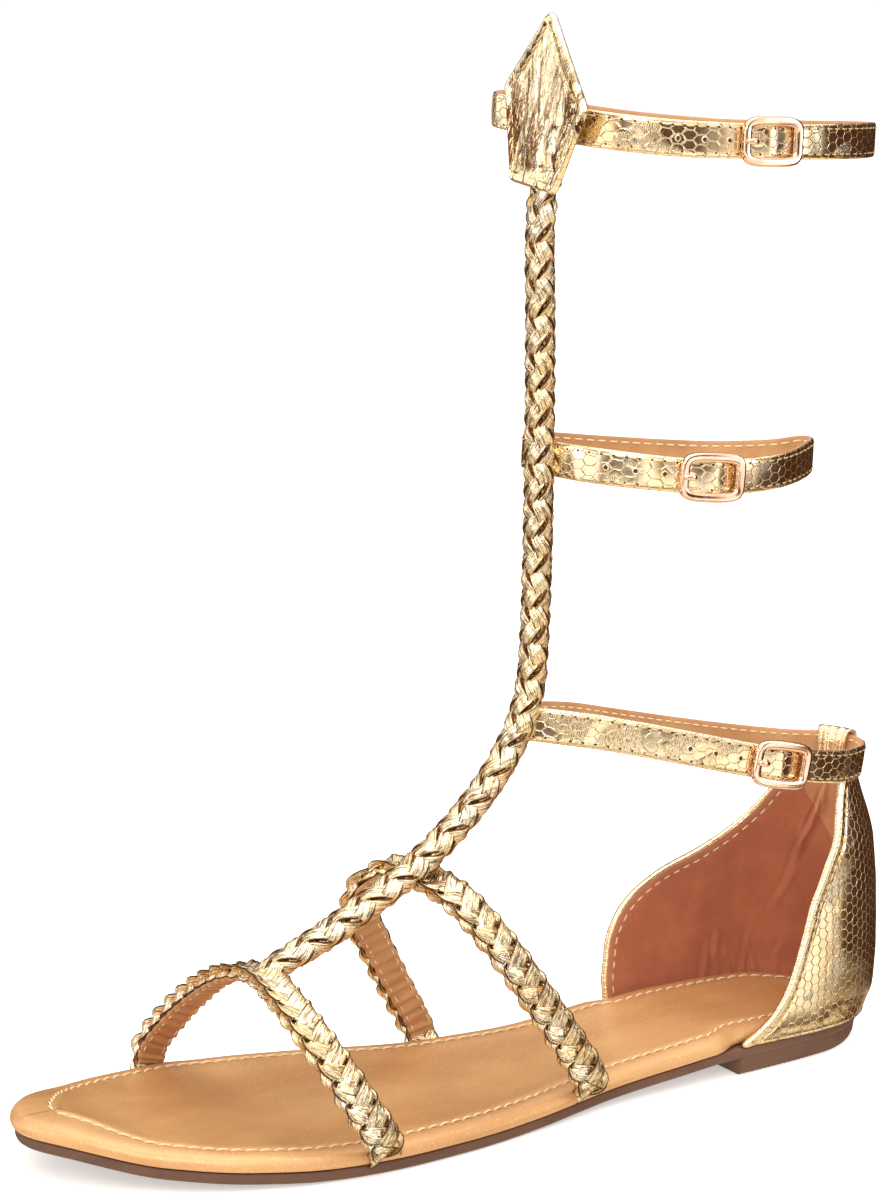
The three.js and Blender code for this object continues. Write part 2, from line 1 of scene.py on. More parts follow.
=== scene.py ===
import math

import bmesh
import bpy
import numpy as np
from mathutils import Matrix, Vector


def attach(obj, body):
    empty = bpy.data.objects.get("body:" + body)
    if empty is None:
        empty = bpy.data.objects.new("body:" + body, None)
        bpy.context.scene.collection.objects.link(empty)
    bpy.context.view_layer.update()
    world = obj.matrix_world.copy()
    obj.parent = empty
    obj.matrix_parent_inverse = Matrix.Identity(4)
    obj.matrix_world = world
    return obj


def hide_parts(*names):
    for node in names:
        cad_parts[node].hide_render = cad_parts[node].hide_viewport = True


# Left gladiator sandal. Tables and sizes are in millimetres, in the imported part's own frame:
# toe to -Y, outer side to +X, floor at z = 0. Meshes are turned to metres as they are made.
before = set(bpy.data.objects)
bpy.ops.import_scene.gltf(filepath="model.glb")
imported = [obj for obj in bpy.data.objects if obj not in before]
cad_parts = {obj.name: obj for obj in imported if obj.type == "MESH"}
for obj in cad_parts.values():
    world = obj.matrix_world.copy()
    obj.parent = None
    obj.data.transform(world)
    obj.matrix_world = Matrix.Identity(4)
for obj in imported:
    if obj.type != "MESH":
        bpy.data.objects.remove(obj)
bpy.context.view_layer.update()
MM = 0.001

# ---------- driving sizes, as in the part ----------
SOLE_LENGTH = 250
SOLE_BACK_Y = 40
TOE_SWING = -7
HEEL_ROUND = 26
TOE_ROUND = 45
OUTSOLE_THICK = 3
INSOLE_THICK = 4.2
GAP = 0.3
HEEL_BREAST_AT = 57
COUNTER_WALL = 1.8
STRAP_WIDE = 8.9
STRAP_THICK = 1.8
BUCKLE_LONG = 19
BUCKLE_HIGH = 12.6
BUCKLE_BAR = 1.8
BAR_LIFT = 1.2
LIFT_LENGTH = 5

OUTLINE = {
    "at": [0, 35, 60, 95, 125, 150, 170, 190, 208, 226, 238, 250],
    "lateral": [22, 25.6, 27, 29.2, 36, 41, 42.8, 41.6, 37, 31.5, 28.5, 26],
    "medial": [22.5, 26.4, 25.2, 21.5, 25.6, 33, 39.2, 42.3, 38.6, 34.5, 32, 29],
}
OUTSOLE = {
    "at": [0, 30, 57, 80, 110, 138, 178, 200, 225, 250],
    "lift": [3.8, 4.6, 4.6, 3.1, 1, 0, 0, 1, 3.3, 8],
    "inset": [4.6, 2.6, 1.2, 1, 1, 1, 1, 1, 1, 1],
}
INSOLE_INSET = {
    "at": [0, 25, 57, 66, 69, 77],
    "lateral": [5.2, 4, 3.4, 0, 0, 0],
    "medial": [5.2, 4, 3.4, 3.4, 3.2, 0],
}
COUNTER = {
    "height": [7.2, 10.5, 14.5, 20, 26, 32, 38, 43.5, 48, 54, 62, 70.5],
    "lateral": [57, 52.8, 47.8, 43.8, 41.2, 39.1, 37, 34.8, 32, 28.6, 23, 17],
    "medial": [68.5, 68.7, 68.7, 68, 67, 64.3, 59, 49.5, 36.5, 25, 16, 8],
    "back": [-2.8, -1.8, -0.3, 0.2, 0.5, 0.5, 0.4, 0.3, 0, -0.5, -1.3, -2.5],
    "side": [-0.9, -0.4, 0, 0.3, 0.5, 0.5, 0.2, -0.3, -0.8, -1.5, -2.8, -4.2],
}
# Rows of x, y, z, width and thickness.
SHIN_BRAID = [
    (0, -148.5, 41.5, 6.5, 4), (0, -141, 44.8, 8.6, 6), (0, -124.3, 52, 9.2, 6.6),
    (0, -101, 64.9, 9.2, 6.6), (0, -89, 74.3, 9.2, 6.6), (0, -79.6, 84, 9.2, 6.6),
    (0, -72.5, 94.5, 9.2, 6.6), (0, -68.2, 106, 9.2, 6.6), (0, -66.8, 120, 9.2, 6.6),
    (0, -65.5, 160, 9.2, 6.6), (0, -65.1, 200, 9.2, 6.6), (0, -65.2, 222, 9.2, 6.2),
    (0, -64.3, 232, 10, 3.4), (0, -63.4, 240, 10.4, 3), (0, -62.2, 249, 10.4, 2.6),
]
TOE_BRAID = [
    (33, -133.4, 4.5, 7.6, 1.8), (37, -133.6, 4.5, 8, 2), (39.7, -134.2, 6.6, 8.6, 2.8),
    (41, -135.8, 10.5, 9, 3.6), (39, -139.8, 18, 9, 3.6), (34.4, -143.5, 26.2, 9, 3.6),
    (26.6, -146.4, 34, 9, 3.6), (15, -147.4, 40, 9, 3.6), (0, -146.6, 43, 9, 3.6),
    (-13, -147, 40.8, 9, 3.6), (-24, -148, 35.6, 9, 3.6), (-33, -149.6, 29, 9, 3.6),
    (-41, -152.2, 21, 9, 3.6), (-47.2, -154.8, 12.5, 9, 3.6), (-47.4, -155.6, 7.6, 8.6, 2.9),
    (-43, -156, 4.9, 8, 2), (-39, -156, 4.9, 7.6, 1.8),
]
INSTEP_BRAID = [
    (23, -69.2, 5.4, 7.6, 1.8), (26.5, -69.1, 5.4, 8, 2), (30.2, -69.2, 7.4, 8.6, 2.8),
    (31.4, -70.2, 11.5, 9, 3.6), (30.2, -75.3, 20.6, 9, 3.6), (27.4, -82.7, 33.1, 9, 3.6),
    (22, -91, 47.4, 9, 3.6), (13, -97, 57.6, 9, 3.6), (0, -99, 60.8, 9, 3.2),
    (-11, -98, 61, 9, 3.6), (-18.5, -101, 59.8, 9, 3.6), (-22, -105.6, 55, 9, 3.6),
    (-25, -104.6, 47, 9, 3.6), (-28.2, -98, 35, 9, 3.6), (-30.2, -91.2, 23, 9, 3.6),
    (-30.9, -85, 12, 9, 3.6), (-29.6, -83.4, 7.4, 8.6, 2.8), (-25.6, -83, 5, 8, 2),
    (-22, -83, 5, 7.6, 1.8),
]
LEG_STRAPS = {
    "top": (-15, [
        (0, -60.7, 249.2), (13, -59.6, 248.2), (21.5, -53.5, 247), (25.6, -41, 245.6),
        (26.8, -26, 244.7), (26, -8, 243.9), (22.6, 9, 243.4), (15, 25, 243),
        (5, 34.4, 242.8), (-4, 33, 242.8), (-15, 21, 243), (-25, 2, 243.8),
        (-32, -20, 246.2), (-35, -40, 249.4), (-34.4, -54, 251.8), (-28, -60.6, 251.6),
        (-14, -61, 250.4),
    ]),
    "calf": (-31, [
        (0, -62, 165), (12, -58, 164.4), (20, -49.5, 163.2), (24.6, -36.5, 161.5),
        (25, -22, 160.2), (21.6, -6, 160), (14, 7, 160.4), (6, 15.6, 160.8),
        (0.6, 17, 160.6), (-2.4, 10, 159.8), (-6, -5, 160), (-9, -22, 161.4),
        (-12, -40, 163.4), (-14.4, -54, 165), (-13.4, -61, 165.4), (-7, -62.2, 165.2),
    ]),
    "ankle": (-6, [
        (0, -68.8, 97.2), (5, -64.4, 96.6), (10.6, -54.6, 95), (15.6, -43, 92.4),
        (20, -28, 88.6), (22.4, -12, 84.4), (21, 4, 80.8), (16.5, 20, 77.7),
        (8.6, 32.4, 76.4), (0, 36.8, 76.1), (-8.6, 33.4, 76.4), (-13.6, 22, 77.4),
        (-15, 5, 80.6), (-14, -15, 85.2), (-11.6, -35, 90.2), (-8.4, -52, 94.6),
        (-4.8, -63.6, 96.6),
    ]),
}
KEEPER = {"from": 0.515, "to": 0.555, "wall": 1.1, "room": 0.6}
PLAQUE_HEM = (-66.2, 233)
PLAQUE_LEAN = 0.116
PLAQUE_THICK = 1.9
PLAQUE = [(10.1, -1.3), (20.8, 20), (1.8, 43.3), (0, 43.3), (-17.2, 25.2), (-10.1, 1.3)]


# ---------- numbers and curves ----------
TANGENT_STEP = 0.8
KNOTS = 4096


def mix(a, b, t):
    return a + (b - a) * t


def smooth(t):
    t = np.clip(t, 0, 1)
    return t * t * (3 - 2 * t)


def column(table, key, value, at):
    """Reads one column of a table at any place: smooth, with no overshoot between rows."""
    xs = np.array(table[key], float)
    ys = np.array(table[value], float)
    steps = np.diff(ys) / np.diff(xs)
    slopes = np.zeros(len(xs))
    for n in range(1, len(xs) - 1):
        before, after = steps[n - 1], steps[n]
        if before * after > 0:
            slopes[n] = 2 * before * after / (before + after)
    at = np.clip(np.asarray(at, float), xs[0], xs[-1])
    i = np.clip(np.searchsorted(xs, at, side="left") - 1, 0, len(xs) - 2)
    span = xs[i + 1] - xs[i]
    t = (at - xs[i]) / span
    rise = span * (slopes[i] * t * (1 - t) ** 2 - slopes[i + 1] * t * t * (1 - t))
    return mix(ys[i], ys[i + 1], t * t * (3 - 2 * t)) + rise


def unit(v):
    return v / np.maximum(np.linalg.norm(v, axis=-1, keepdims=True), 1e-9)


def square_to(v, along):
    """The part of v that is square to `along`, one unit long."""
    return unit(v - along * (v * along).sum(-1, keepdims=True))


def bell(x, wide):
    return np.exp(-(x / wide) ** 2)


def squared(x, power):
    """Pushes a cosine or sine out towards -1 and 1, so that a circle turns into a soft box."""
    return np.sign(x) * np.abs(x) ** power


def full_turn(count):
    return np.linspace(0, 2 * np.pi, count, endpoint=False)


def closed_turn(turn):
    return np.append(turn, 2 * np.pi)


def run_of(line):
    """Distance along a line of points, at each of them."""
    return np.concatenate([[0], np.cumsum(np.linalg.norm(np.diff(line, axis=0), axis=1))])


def read(s, at, line):
    """Reads a line of points at the distances s; `at` holds the points' own distances."""
    return np.stack([np.interp(s, at, values) for values in line.T], -1)


def sections(centre, *moves):
    """A grid of points: each centre moved along each direction by its row of amounts."""
    grid = centre[:, None]
    for amounts, direction in moves:
        grid = grid + direction[:, None] * amounts[..., None]
    return grid


def lay_grid(along, across, kind=0):
    lay = np.zeros((len(along), len(across), 3))
    lay[..., 0], lay[..., 1], lay[..., 2] = along[:, None], across, kind
    return lay


def flat_lay(points):
    """`lay` for a surface that is read from above: y along, x across."""
    return np.stack([points[..., 1], points[..., 0], 0 * points[..., 2]], -1)


def close_rows(grid):
    return np.concatenate([grid, grid[:, :1]], 1)


def with_height(flat, z):
    return np.concatenate([flat, z[..., None]], -1)


class Path:
    """A centripetal curve through points, read by arc length, as the part's own curves are."""

    def __init__(self, points, closed=False, fine=60):
        pts = np.array(points, float)
        count = len(pts)
        if closed:
            ctrl = np.vstack([pts[-1:], pts, pts[:2]])
            spans = count
        else:
            ctrl = np.vstack([2 * pts[0] - pts[1], pts, 2 * pts[-1] - pts[-2]])
            spans = count - 1
        line, rows = [], []
        t = np.linspace(0, 1, fine, endpoint=False)[:, None]
        for n in range(spans):
            p0, p1, p2, p3 = ctrl[n:n + 4]
            d0, d1, d2 = (np.linalg.norm(b - a) ** 0.5 for a, b in ((p0, p1), (p1, p2), (p2, p3)))
            m1 = ((p1 - p0) / d0 - (p2 - p0) / (d0 + d1) + (p2 - p1) / d1) * d1
            m2 = ((p2 - p1) / d1 - (p3 - p1) / (d1 + d2) + (p3 - p2) / d2) * d1
            line.append(p1 + m1 * t + (3 * (p2 - p1) - 2 * m1 - m2) * t ** 2
                        + (2 * (p1 - p2) + m1 + m2) * t ** 3)
            rows.append(n + t[:, 0])
        line.append(ctrl[spans + 1][None])
        rows.append(np.array([float(spans)]))
        self.line = np.vstack(line)
        self.rows = np.concatenate(rows)
        self.at = run_of(self.line)
        self.length = self.at[-1]
        self.closed = closed

    def points(self, s):
        s = np.mod(s, self.length) if self.closed else s
        return read(s, self.at, self.line)

    def tangents(self, s):
        low, high = s - TANGENT_STEP, s + TANGENT_STEP
        if not self.closed:
            low, high = np.clip(low, 0, self.length), np.clip(high, 0, self.length)
        return unit(self.points(high) - self.points(low))

    def row(self, s):
        return np.interp(s, self.at, self.rows)


def wobble(values, seed, scale, amount):
    """Smooth seeded noise along a line."""
    knots = np.random.default_rng(seed).uniform(-1, 1, KNOTS)
    x = np.asarray(values, float) / scale + 1000
    i = np.floor(x).astype(int)
    return amount * mix(knots[i % KNOTS], knots[(i + 1) % KNOTS], smooth(x - i))


# ---------- meshes ----------
WELD = 2e-6
TIP = 0.02


def link(name, data):
    obj = bpy.data.objects.new(name, data)
    bpy.context.scene.collection.objects.link(obj)
    return obj


class Builder:
    """Gathers grids of points into one mesh, with `lay` on its corners: mm along, mm across
    and a number that tells one strip from the next."""

    def __init__(self, name):
        self.name = name
        self.points, self.faces, self.lay, self.kinds = [], [], [], []
        self.count = 0

    def add(self, points, faces, lay, kinds):
        self.points.append(np.asarray(points, float).reshape(-1, 3))
        self.faces.extend([tuple(v + self.count for v in f) for f in faces])
        self.lay.extend(lay)
        self.kinds.extend(kinds)
        self.count += len(self.points[-1])

    def grid(self, points, lay=None, kind=0, round_rows=False, round_cols=False):
        """points[r][c]; lay has one row and column more than points where they close."""
        rows, cols = points.shape[:2]
        r_end, c_end = rows + round_rows, cols + round_cols
        if lay is None:
            lay = np.zeros((r_end, c_end, 3))
        r, c = np.meshgrid(np.arange(r_end - 1), np.arange(c_end - 1), indexing="ij")
        r, c = r.ravel(), c.ravel()
        corner = [(r, c), (r, c + 1), (r + 1, c + 1), (r + 1, c)]
        faces = np.stack([(a % rows) * cols + (b % cols) for a, b in corner], 1)
        lays = np.stack([lay[a, b] for a, b in corner], 1).reshape(-1, 3)
        kinds = np.broadcast_to(kind, (r_end - 1, c_end - 1)).ravel()
        self.add(points, faces.tolist(), lays.tolist(), kinds.tolist())

    def finish(self, materials, replaces=()):
        mesh = bpy.data.meshes.new(self.name)
        mesh.from_pydata((np.vstack(self.points) * MM).tolist(), [], self.faces)
        lay = mesh.attributes.new("lay", "FLOAT_VECTOR", "CORNER")
        lay.data.foreach_set("vector", np.array(self.lay, np.float32).ravel())
        mesh.polygons.foreach_set("material_index", np.array(self.kinds, np.int32))
        mesh.polygons.foreach_set("use_smooth", np.ones(len(mesh.polygons), bool))
        bm = bmesh.new()
        bm.from_mesh(mesh)
        bmesh.ops.remove_doubles(bm, verts=bm.verts, dist=WELD)
        bmesh.ops.recalc_face_normals(bm, faces=bm.faces)
        bm.to_mesh(mesh)
        bm.free()
        mesh.update()
        obj = link(self.name, mesh)
        for material in materials:
            mesh.materials.append(material)
        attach(obj, "root")
        if replaces:
            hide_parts(*replaces)


def tube(builder, centre, side, out, half_wide, half_thick, around, kind=0):
    """A closed bar of rounded section through `centre`, with its two ends drawn in."""
    half_wide, half_thick = (
        np.broadcast_to(v, len(centre)).copy() for v in (half_wide, half_thick))
    for half in (half_wide, half_thick):
        half[[0, -1]] *= TIP
    turn = full_turn(around)
    points = sections(centre, (half_wide[:, None] * np.cos(turn), side),
                      (half_thick[:, None] * np.sin(turn), out))
    lay = lay_grid(run_of(centre), closed_turn(turn) * float(np.max(half_wide)))
    builder.grid(points, lay, kind, round_cols=True)


# One stitch: places along it and how thick it is there. A prick is the dent between two, drawn as a
# small dark dab of painted shade.
STITCH_START = 0.5
STITCH_AT = np.array([0, 0.07, 0.22, 0.5, 0.78, 0.93, 1.0])
STITCH_GROW = np.array([0.3, 0.7, 0.95, 1, 0.95, 0.7, 0.3])
STITCH_SUNK = 0.55
PRICK_AT = np.array([-1, -0.6, 0, 0.6, 1]) * 0.42
PRICK_GROW = np.array([0.1, 0.8, 1, 0.8, 0.1])
PRICK_WIDE, PRICK_THICK, PRICK_SUNK = 0.3, 0.1, 0.05


def stitch_row(builder, line, normals, long, gap, radius, sunk, slant=0.0, kind=0, prick_shade=None):
    """Thread stitches along a line of points, each a small rounded bar lying in the surface."""
    at = run_of(line)
    s = STITCH_START
    while s + long < at[-1]:
        here = s + long * STITCH_AT
        points = read(here, at, line)
        out = unit(read(here, at, normals))
        along = unit(points[-1] - points[0])
        side = unit(np.cross(out, along))
        points = points + side * ((STITCH_AT - 0.5) * slant * long)[:, None]
        rise = radius * (np.sin(np.pi * STITCH_AT) - STITCH_SUNK) - sunk
        half = radius * STITCH_GROW
        tube(builder, points + out * rise[:, None], side, out, half, half, around=6, kind=kind)
        # A dark dab of painted shade in the dent after each stitch.
        if prick_shade is not None:
            spot = read(s + long + gap / 2, at, line)
            dab = spot + along * PRICK_AT[:, None] - out[3] * PRICK_SUNK
            tube(builder, dab, 0 * dab + side[3], 0 * dab + out[3], PRICK_WIDE * PRICK_GROW,
                 PRICK_THICK * PRICK_GROW, around=8, kind=prick_shade)
        s += long + gap


# ---------- materials ----------
HEX_SIN = 0.8660254
# The scales' pattern is moved this many cells away, where every coordinate is positive.
HEX_AWAY = 1000.0


class Tree:
    """The node tree of a new material, or of the owner that is given, built from short calls."""

    def __init__(self, name, owner=None):
        self.owner = owner or bpy.data.materials.new(name)
        self.owner.use_nodes = True
        self.nodes = self.owner.node_tree.nodes
        self.links = self.owner.node_tree.links
        self.nodes.clear()

    def node(self, kind, inputs=None, **props):
        node = self.nodes.new(kind)
        for key, value in props.items():
            setattr(node, key, value)
        for key, value in (inputs or {}).items():
            if isinstance(value, bpy.types.NodeSocket):
                self.links.new(value, node.inputs[key])
            elif value is not None:
                node.inputs[key].default_value = value
        return node

    def math(self, op, a, b=None, clamp=False):
        return self.node("ShaderNodeMath", {0: a, 1: b}, operation=op, use_clamp=clamp).outputs[0]

    def times(self, a, b, clamp=False):
        return self.math("MULTIPLY", a, b, clamp)

    def plus(self, a, b, clamp=False):
        return self.math("ADD", a, b, clamp)

    def minus(self, a, b):
        return self.math("SUBTRACT", a, b)

    def vector(self, op, a, b=None, scale=None):
        node = self.node("ShaderNodeVectorMath", {0: a, 1: b, "Scale": scale}, operation=op)
        return node.outputs["Value"] if op in ("LENGTH", "DOT_PRODUCT") else node.outputs[0]

    def lay(self):
        return self.node("ShaderNodeAttribute", attribute_name="lay").outputs["Vector"]

    def place(self):
        """Object coordinates in millimetres."""
        coords = self.node("ShaderNodeTexCoord").outputs["Object"]
        return self.vector("SCALE", coords, scale=1000.0)

    def stretch(self, vector, x, y, z=1.0):
        return self.vector("MULTIPLY", vector, (x, y, z))

    def noise(self, vector, scale, detail=3.0, rough=0.55, warp=0.0, out=0):
        return self.node("ShaderNodeTexNoise", {
            "Vector": vector, "Scale": scale, "Detail": detail, "Roughness": rough,
            "Distortion": warp,
        }).outputs[out]

    def ramp(self, value, stops):
        node = self.node("ShaderNodeValToRGB", {0: value})
        elements = node.color_ramp.elements
        while len(elements) < len(stops):
            elements.new(1.0)
        for element, (at, color) in zip(elements, stops):
            element.position, element.color = at, (*color, 1)
        return node.outputs[0]

    def level(self, value, low, high, to_low=0.0, to_high=1.0):
        return self.node("ShaderNodeMapRange", {
            0: value, 1: low, 2: high, 3: to_low, 4: to_high,
        }, interpolation_type="SMOOTHSTEP").outputs[0]

    def blend(self, share, a, b):
        a, b = ((*v, 1) if isinstance(v, tuple) else v for v in (a, b))
        return self.node("ShaderNodeMix", {0: share, 6: a, 7: b}, data_type="RGBA").outputs[2]

    def tint(self, color, other, share, amount, clamp=False):
        return self.blend(self.times(share, amount, clamp), color, other)

    def bump(self, height, distance, strength):
        return self.node("ShaderNodeBump", {
            "Height": height, "Distance": distance * MM, "Strength": strength,
        }).outputs[0]

    def hexes(self, vector):
        """Distance from the nearest edge of a hexagon cell (0 to 0.5), and the cell's centre."""
        size = (2 * HEX_SIN, 1.0, 1.0)
        half = (HEX_SIN, 0.5, 0.0)
        flat = self.stretch(vector, 1, 1, 0)
        moved = self.vector("ADD", flat, (HEX_AWAY * 2 * HEX_SIN, HEX_AWAY, 0.0))
        first = self.vector("SUBTRACT", self.vector("MODULO", moved, size), half)
        second = self.vector("MODULO", self.vector("SUBTRACT", moved, half), size)
        second = self.vector("SUBTRACT", second, half)
        lengths = (self.vector("LENGTH", second), self.vector("LENGTH", first))
        inside = self.node("ShaderNodeMix", {
            0: self.math("LESS_THAN", *lengths), 4: first, 5: second,
        }, data_type="VECTOR", factor_mode="UNIFORM").outputs[1]
        away = self.vector("ABSOLUTE", inside)
        slant = self.vector("DOT_PRODUCT", away, half)
        upright = self.vector("DOT_PRODUCT", away, (0.0, 1.0, 0.0))
        edge = self.minus(0.5, self.math("MAXIMUM", slant, upright))
        return edge, self.vector("SUBTRACT", moved, inside)

    def surface(self, color, roughness, metallic=0.0, normal=None, **more):
        if isinstance(color, tuple):
            color = (*color, 1)
        inputs = {"Base Color": color, "Roughness": roughness, "Metallic": metallic,
                  "Normal": normal}
        shader = self.node("ShaderNodeBsdfPrincipled", {**inputs, **more})
        return self.output("ShaderNodeOutputMaterial", shader)

    def output(self, kind, shader):
        self.node(kind, {0: shader.outputs[0]})
        return self.owner


# GOLD_DEEP serves both as random tone and as painted shade in the foils' hollows; GOLD_SHADE is only
# painted shade.
GOLD = (1.0, 0.81, 0.5)
GOLD_PALE = (1.0, 0.9, 0.68)
GOLD_DEEP = (0.55, 0.27, 0.1)
GOLD_LINE = (0.4, 0.18, 0.065)
GOLD_SHADE = (0.11, 0.042, 0.014)
STRAND_LAY = 2.2


def scaled_foil(name, long, high, wander=0.12, crackle=1.0):
    """Gold foil leather embossed with scales `long` by `high` mm; `lay` runs along the piece."""
    t = Tree(name)
    lay = t.lay()
    scaled = t.stretch(lay, HEX_SIN / long, 1.0 / high, 0)
    drift = t.vector("SUBTRACT", t.noise(t.stretch(lay, 1, 1, 3), 0.35, 2, out=1), (0.5, 0.5, 0.5))
    spot = t.vector("ADD", scaled, t.vector("SCALE", drift, scale=wander * 4))
    edge, centre = t.hexes(spot)
    pillow = t.level(edge, 0.0, 0.07)
    line = t.level(edge, 0.01, 0.045, 1.0, 0.0)
    tone = t.node("ShaderNodeTexWhiteNoise", {"Vector": centre}).outputs["Value"]
    cloud = t.noise(lay, 0.12, 4)
    fine = t.noise(t.stretch(lay, 2.6, 0.35, 1), 1.6, 4, 0.7)
    patch = t.level(t.noise(lay, 0.09, 2, 0.5, 0.6), 0.5, 0.6)
    color = t.blend(t.level(cloud, 0.3, 0.75), GOLD, GOLD_PALE)
    color = t.tint(color, GOLD_DEEP, tone, 0.12)
    color = t.tint(color, GOLD_LINE, line, 0.7)
    # Painted shade in the creased patches, following the same noise as the creases' bump.
    crease_shade = t.times(t.level(fine, 0.52, 0.6), patch)
    color = t.tint(color, GOLD_SHADE, crease_shade, 0.75)
    rough = t.plus(t.level(cloud, 0.2, 0.8, 0.13, 0.22), t.times(line, 0.3))
    creases = t.times(t.times(fine, patch), crackle * 1.6)
    tilt = t.times(t.noise(spot, 0.8, 1), 0.5)
    height = t.plus(t.plus(pillow, tilt), creases)
    normal = t.bump(height, 0.1, 0.6)
    return t.surface(color, rough, 1.0, normal)


def strand_foil(name, strength=1.0, plaited=True):
    """Gold foil on folded strips: pleats along the strip with painted shade in their hollows, faint
    scale lines over it. A plaited strip gets painted shade where it turns under its neighbours and in
    its creases."""
    t = Tree(name)
    lay = t.lay()
    spot = t.stretch(lay, 0.32, 0.55, 0)
    spot = t.vector("ADD", spot, t.vector("SCALE", t.stretch(lay, 0, 0, 1), scale=3.7))
    line = t.level(t.hexes(spot)[0], 0.015, 0.06, 1.0, 0.0)
    folds = t.noise(t.stretch(lay, 0.16, 1.5, 1), 1.0, 3, 0.6)
    grain = t.noise(t.stretch(lay, 0.8, 2.4, 1), 1.6, 3, 0.6)
    cloud = t.noise(t.place(), 0.09, 3)
    color = t.blend(t.level(cloud, 0.35, 0.7), GOLD, GOLD_PALE)
    # Painted shade in the pleats' hollows: deeper gold where the folds are low.
    color = t.blend(t.level(folds, 0.3, 0.42, 0.8, 0.0), color, GOLD_DEEP)
    color = t.tint(color, GOLD_LINE, line, 0.35)
    rough = t.level(grain, 0.2, 0.8, 0.13, 0.24)
    if plaited:
        # Painted shade at the strip's edges, where it turns under its neighbours.
        across = t.node("ShaderNodeSeparateXYZ", {"Vector": lay}).outputs[1]
        face = t.math("ABSOLUTE", t.math("SINE", t.times(across, 1 / STRAND_LAY)))
        color = t.blend(t.level(face, 0.2, 0.62, 1.0, 0.0), color, GOLD_SHADE)
        # Two or three long creases pressed into the strip's face, drawn only as painted shade.
        ridges = t.noise(t.stretch(lay, 0.11, 1.0, 1), 0.95, 1, 0.5)
        crease = t.level(t.math("ABSOLUTE", t.minus(ridges, 0.5)), 0.012, 0.05, 1.0, 0.0)
        color = t.tint(color, GOLD_SHADE, crease, 0.75)
    height = t.plus(folds, t.times(grain, 0.06))
    height = t.minus(height, t.times(line, 0.12))
    return t.surface(color, rough, 1.0, t.bump(height, 0.5, 0.7 * strength))


def crinkled_foil(name):
    """Gold foil leather for the plaque: flat scales above, crushed into long upright creases
    that crowd together towards the hem and the sides, darkened there with painted shade."""
    t = Tree(name)
    lay = t.lay()
    bend = t.vector("SCALE", t.noise(lay, 0.1, 2, out=1), scale=5.0)
    leaning = t.node("ShaderNodeVectorRotate", {"Vector": lay, "Angle": 0.2},
                     rotation_type="Z_AXIS").outputs["Vector"]
    spot = t.vector("ADD", t.stretch(leaning, 1.0, 0.2, 0), bend)
    scales = t.stretch(t.vector("ADD", lay, bend), 0.28, 0.36, 0)
    line = t.level(t.hexes(scales)[0], 0.012, 0.05, 1.0, 0.0)
    x, up, _ = t.node("ShaderNodeSeparateXYZ", {"Vector": lay}).outputs
    low = t.level(up, 8.0, 38.0, 1.0, 0.0)
    beside = t.level(t.math("ABSOLUTE", x), 3.0, 12.0)
    crowd = t.plus(t.times(low, 0.75), t.times(beside, 0.35), clamp=True)
    hem = t.level(up, 3.6, 4.6)
    crowd = t.times(crowd, hem)
    wide = t.noise(spot, 0.32, 2, 0.5)
    narrow = t.noise(spot, 0.85, 3, 0.6)
    ridge = t.math("ABSOLUTE", t.minus(narrow, 0.5))
    # Painted shade in the creases and splits.
    crease = t.times(t.level(ridge, 0.03, 0.075, 1.0, 0.0), t.level(wide, 0.4, 0.5))
    splits = t.noise(t.stretch(spot, 1.0, 1.5, 1), 1.5, 3, 0.6)
    split = t.times(t.level(splits, 0.52, 0.56), t.level(wide, 0.42, 0.5))
    crease = t.times(t.math("MAXIMUM", crease, split), crowd)
    # Painted shade over the broad folds where the creases crowd.
    hollow = t.times(t.level(wide, 0.5, 0.58), crowd)
    color = t.blend(t.level(narrow, 0.35, 0.65), GOLD, GOLD_PALE)
    color = t.tint(color, GOLD_DEEP, hollow, 0.75)
    color = t.tint(color, GOLD_LINE, line, 0.5)
    color = t.tint(color, GOLD_SHADE, crease, 1.15, clamp=True)
    height = t.minus(t.times(wide, 1.3), t.times(crease, 0.3))
    height = t.plus(height, t.times(t.times(narrow, crowd), 0.9))
    return t.surface(color, t.level(wide, 0.2, 0.8, 0.12, 0.2), 1.0, t.bump(height, 0.6, 0.7))


def lining(name, pale, deep, grain=1.0, rough=0.62, sheen=0.25):
    """Smooth lining leather with fine grain and soft clouds."""
    t = Tree(name)
    place = t.place()
    cloud = t.noise(place, 0.05, 4, 0.6)
    pores = t.noise(place, 2.2, 5, 0.7)
    fleck = t.node("ShaderNodeTexVoronoi", {"Vector": place, "Scale": 1.1}).outputs["Distance"]
    color = t.blend(t.level(cloud, 0.3, 0.7), deep, pale)
    color = t.blend(t.level(pores, 0.3, 0.6, 0.22, 0.0), color, tuple(c * 0.55 for c in deep))
    color = t.blend(t.level(fleck, 0.04, 0.12, 0.35, 0.0), color, (0.9, 0.72, 0.5))
    normal = t.bump(pores, 0.12 * grain, 0.5)
    wear = t.level(cloud, 0.2, 0.8, rough - 0.08, rough + 0.06)
    return t.surface(color, wear, 0.0, normal, **{
        "Sheen Weight": sheen, "Sheen Roughness": 0.4, "Specular IOR Level": 0.35,
    })


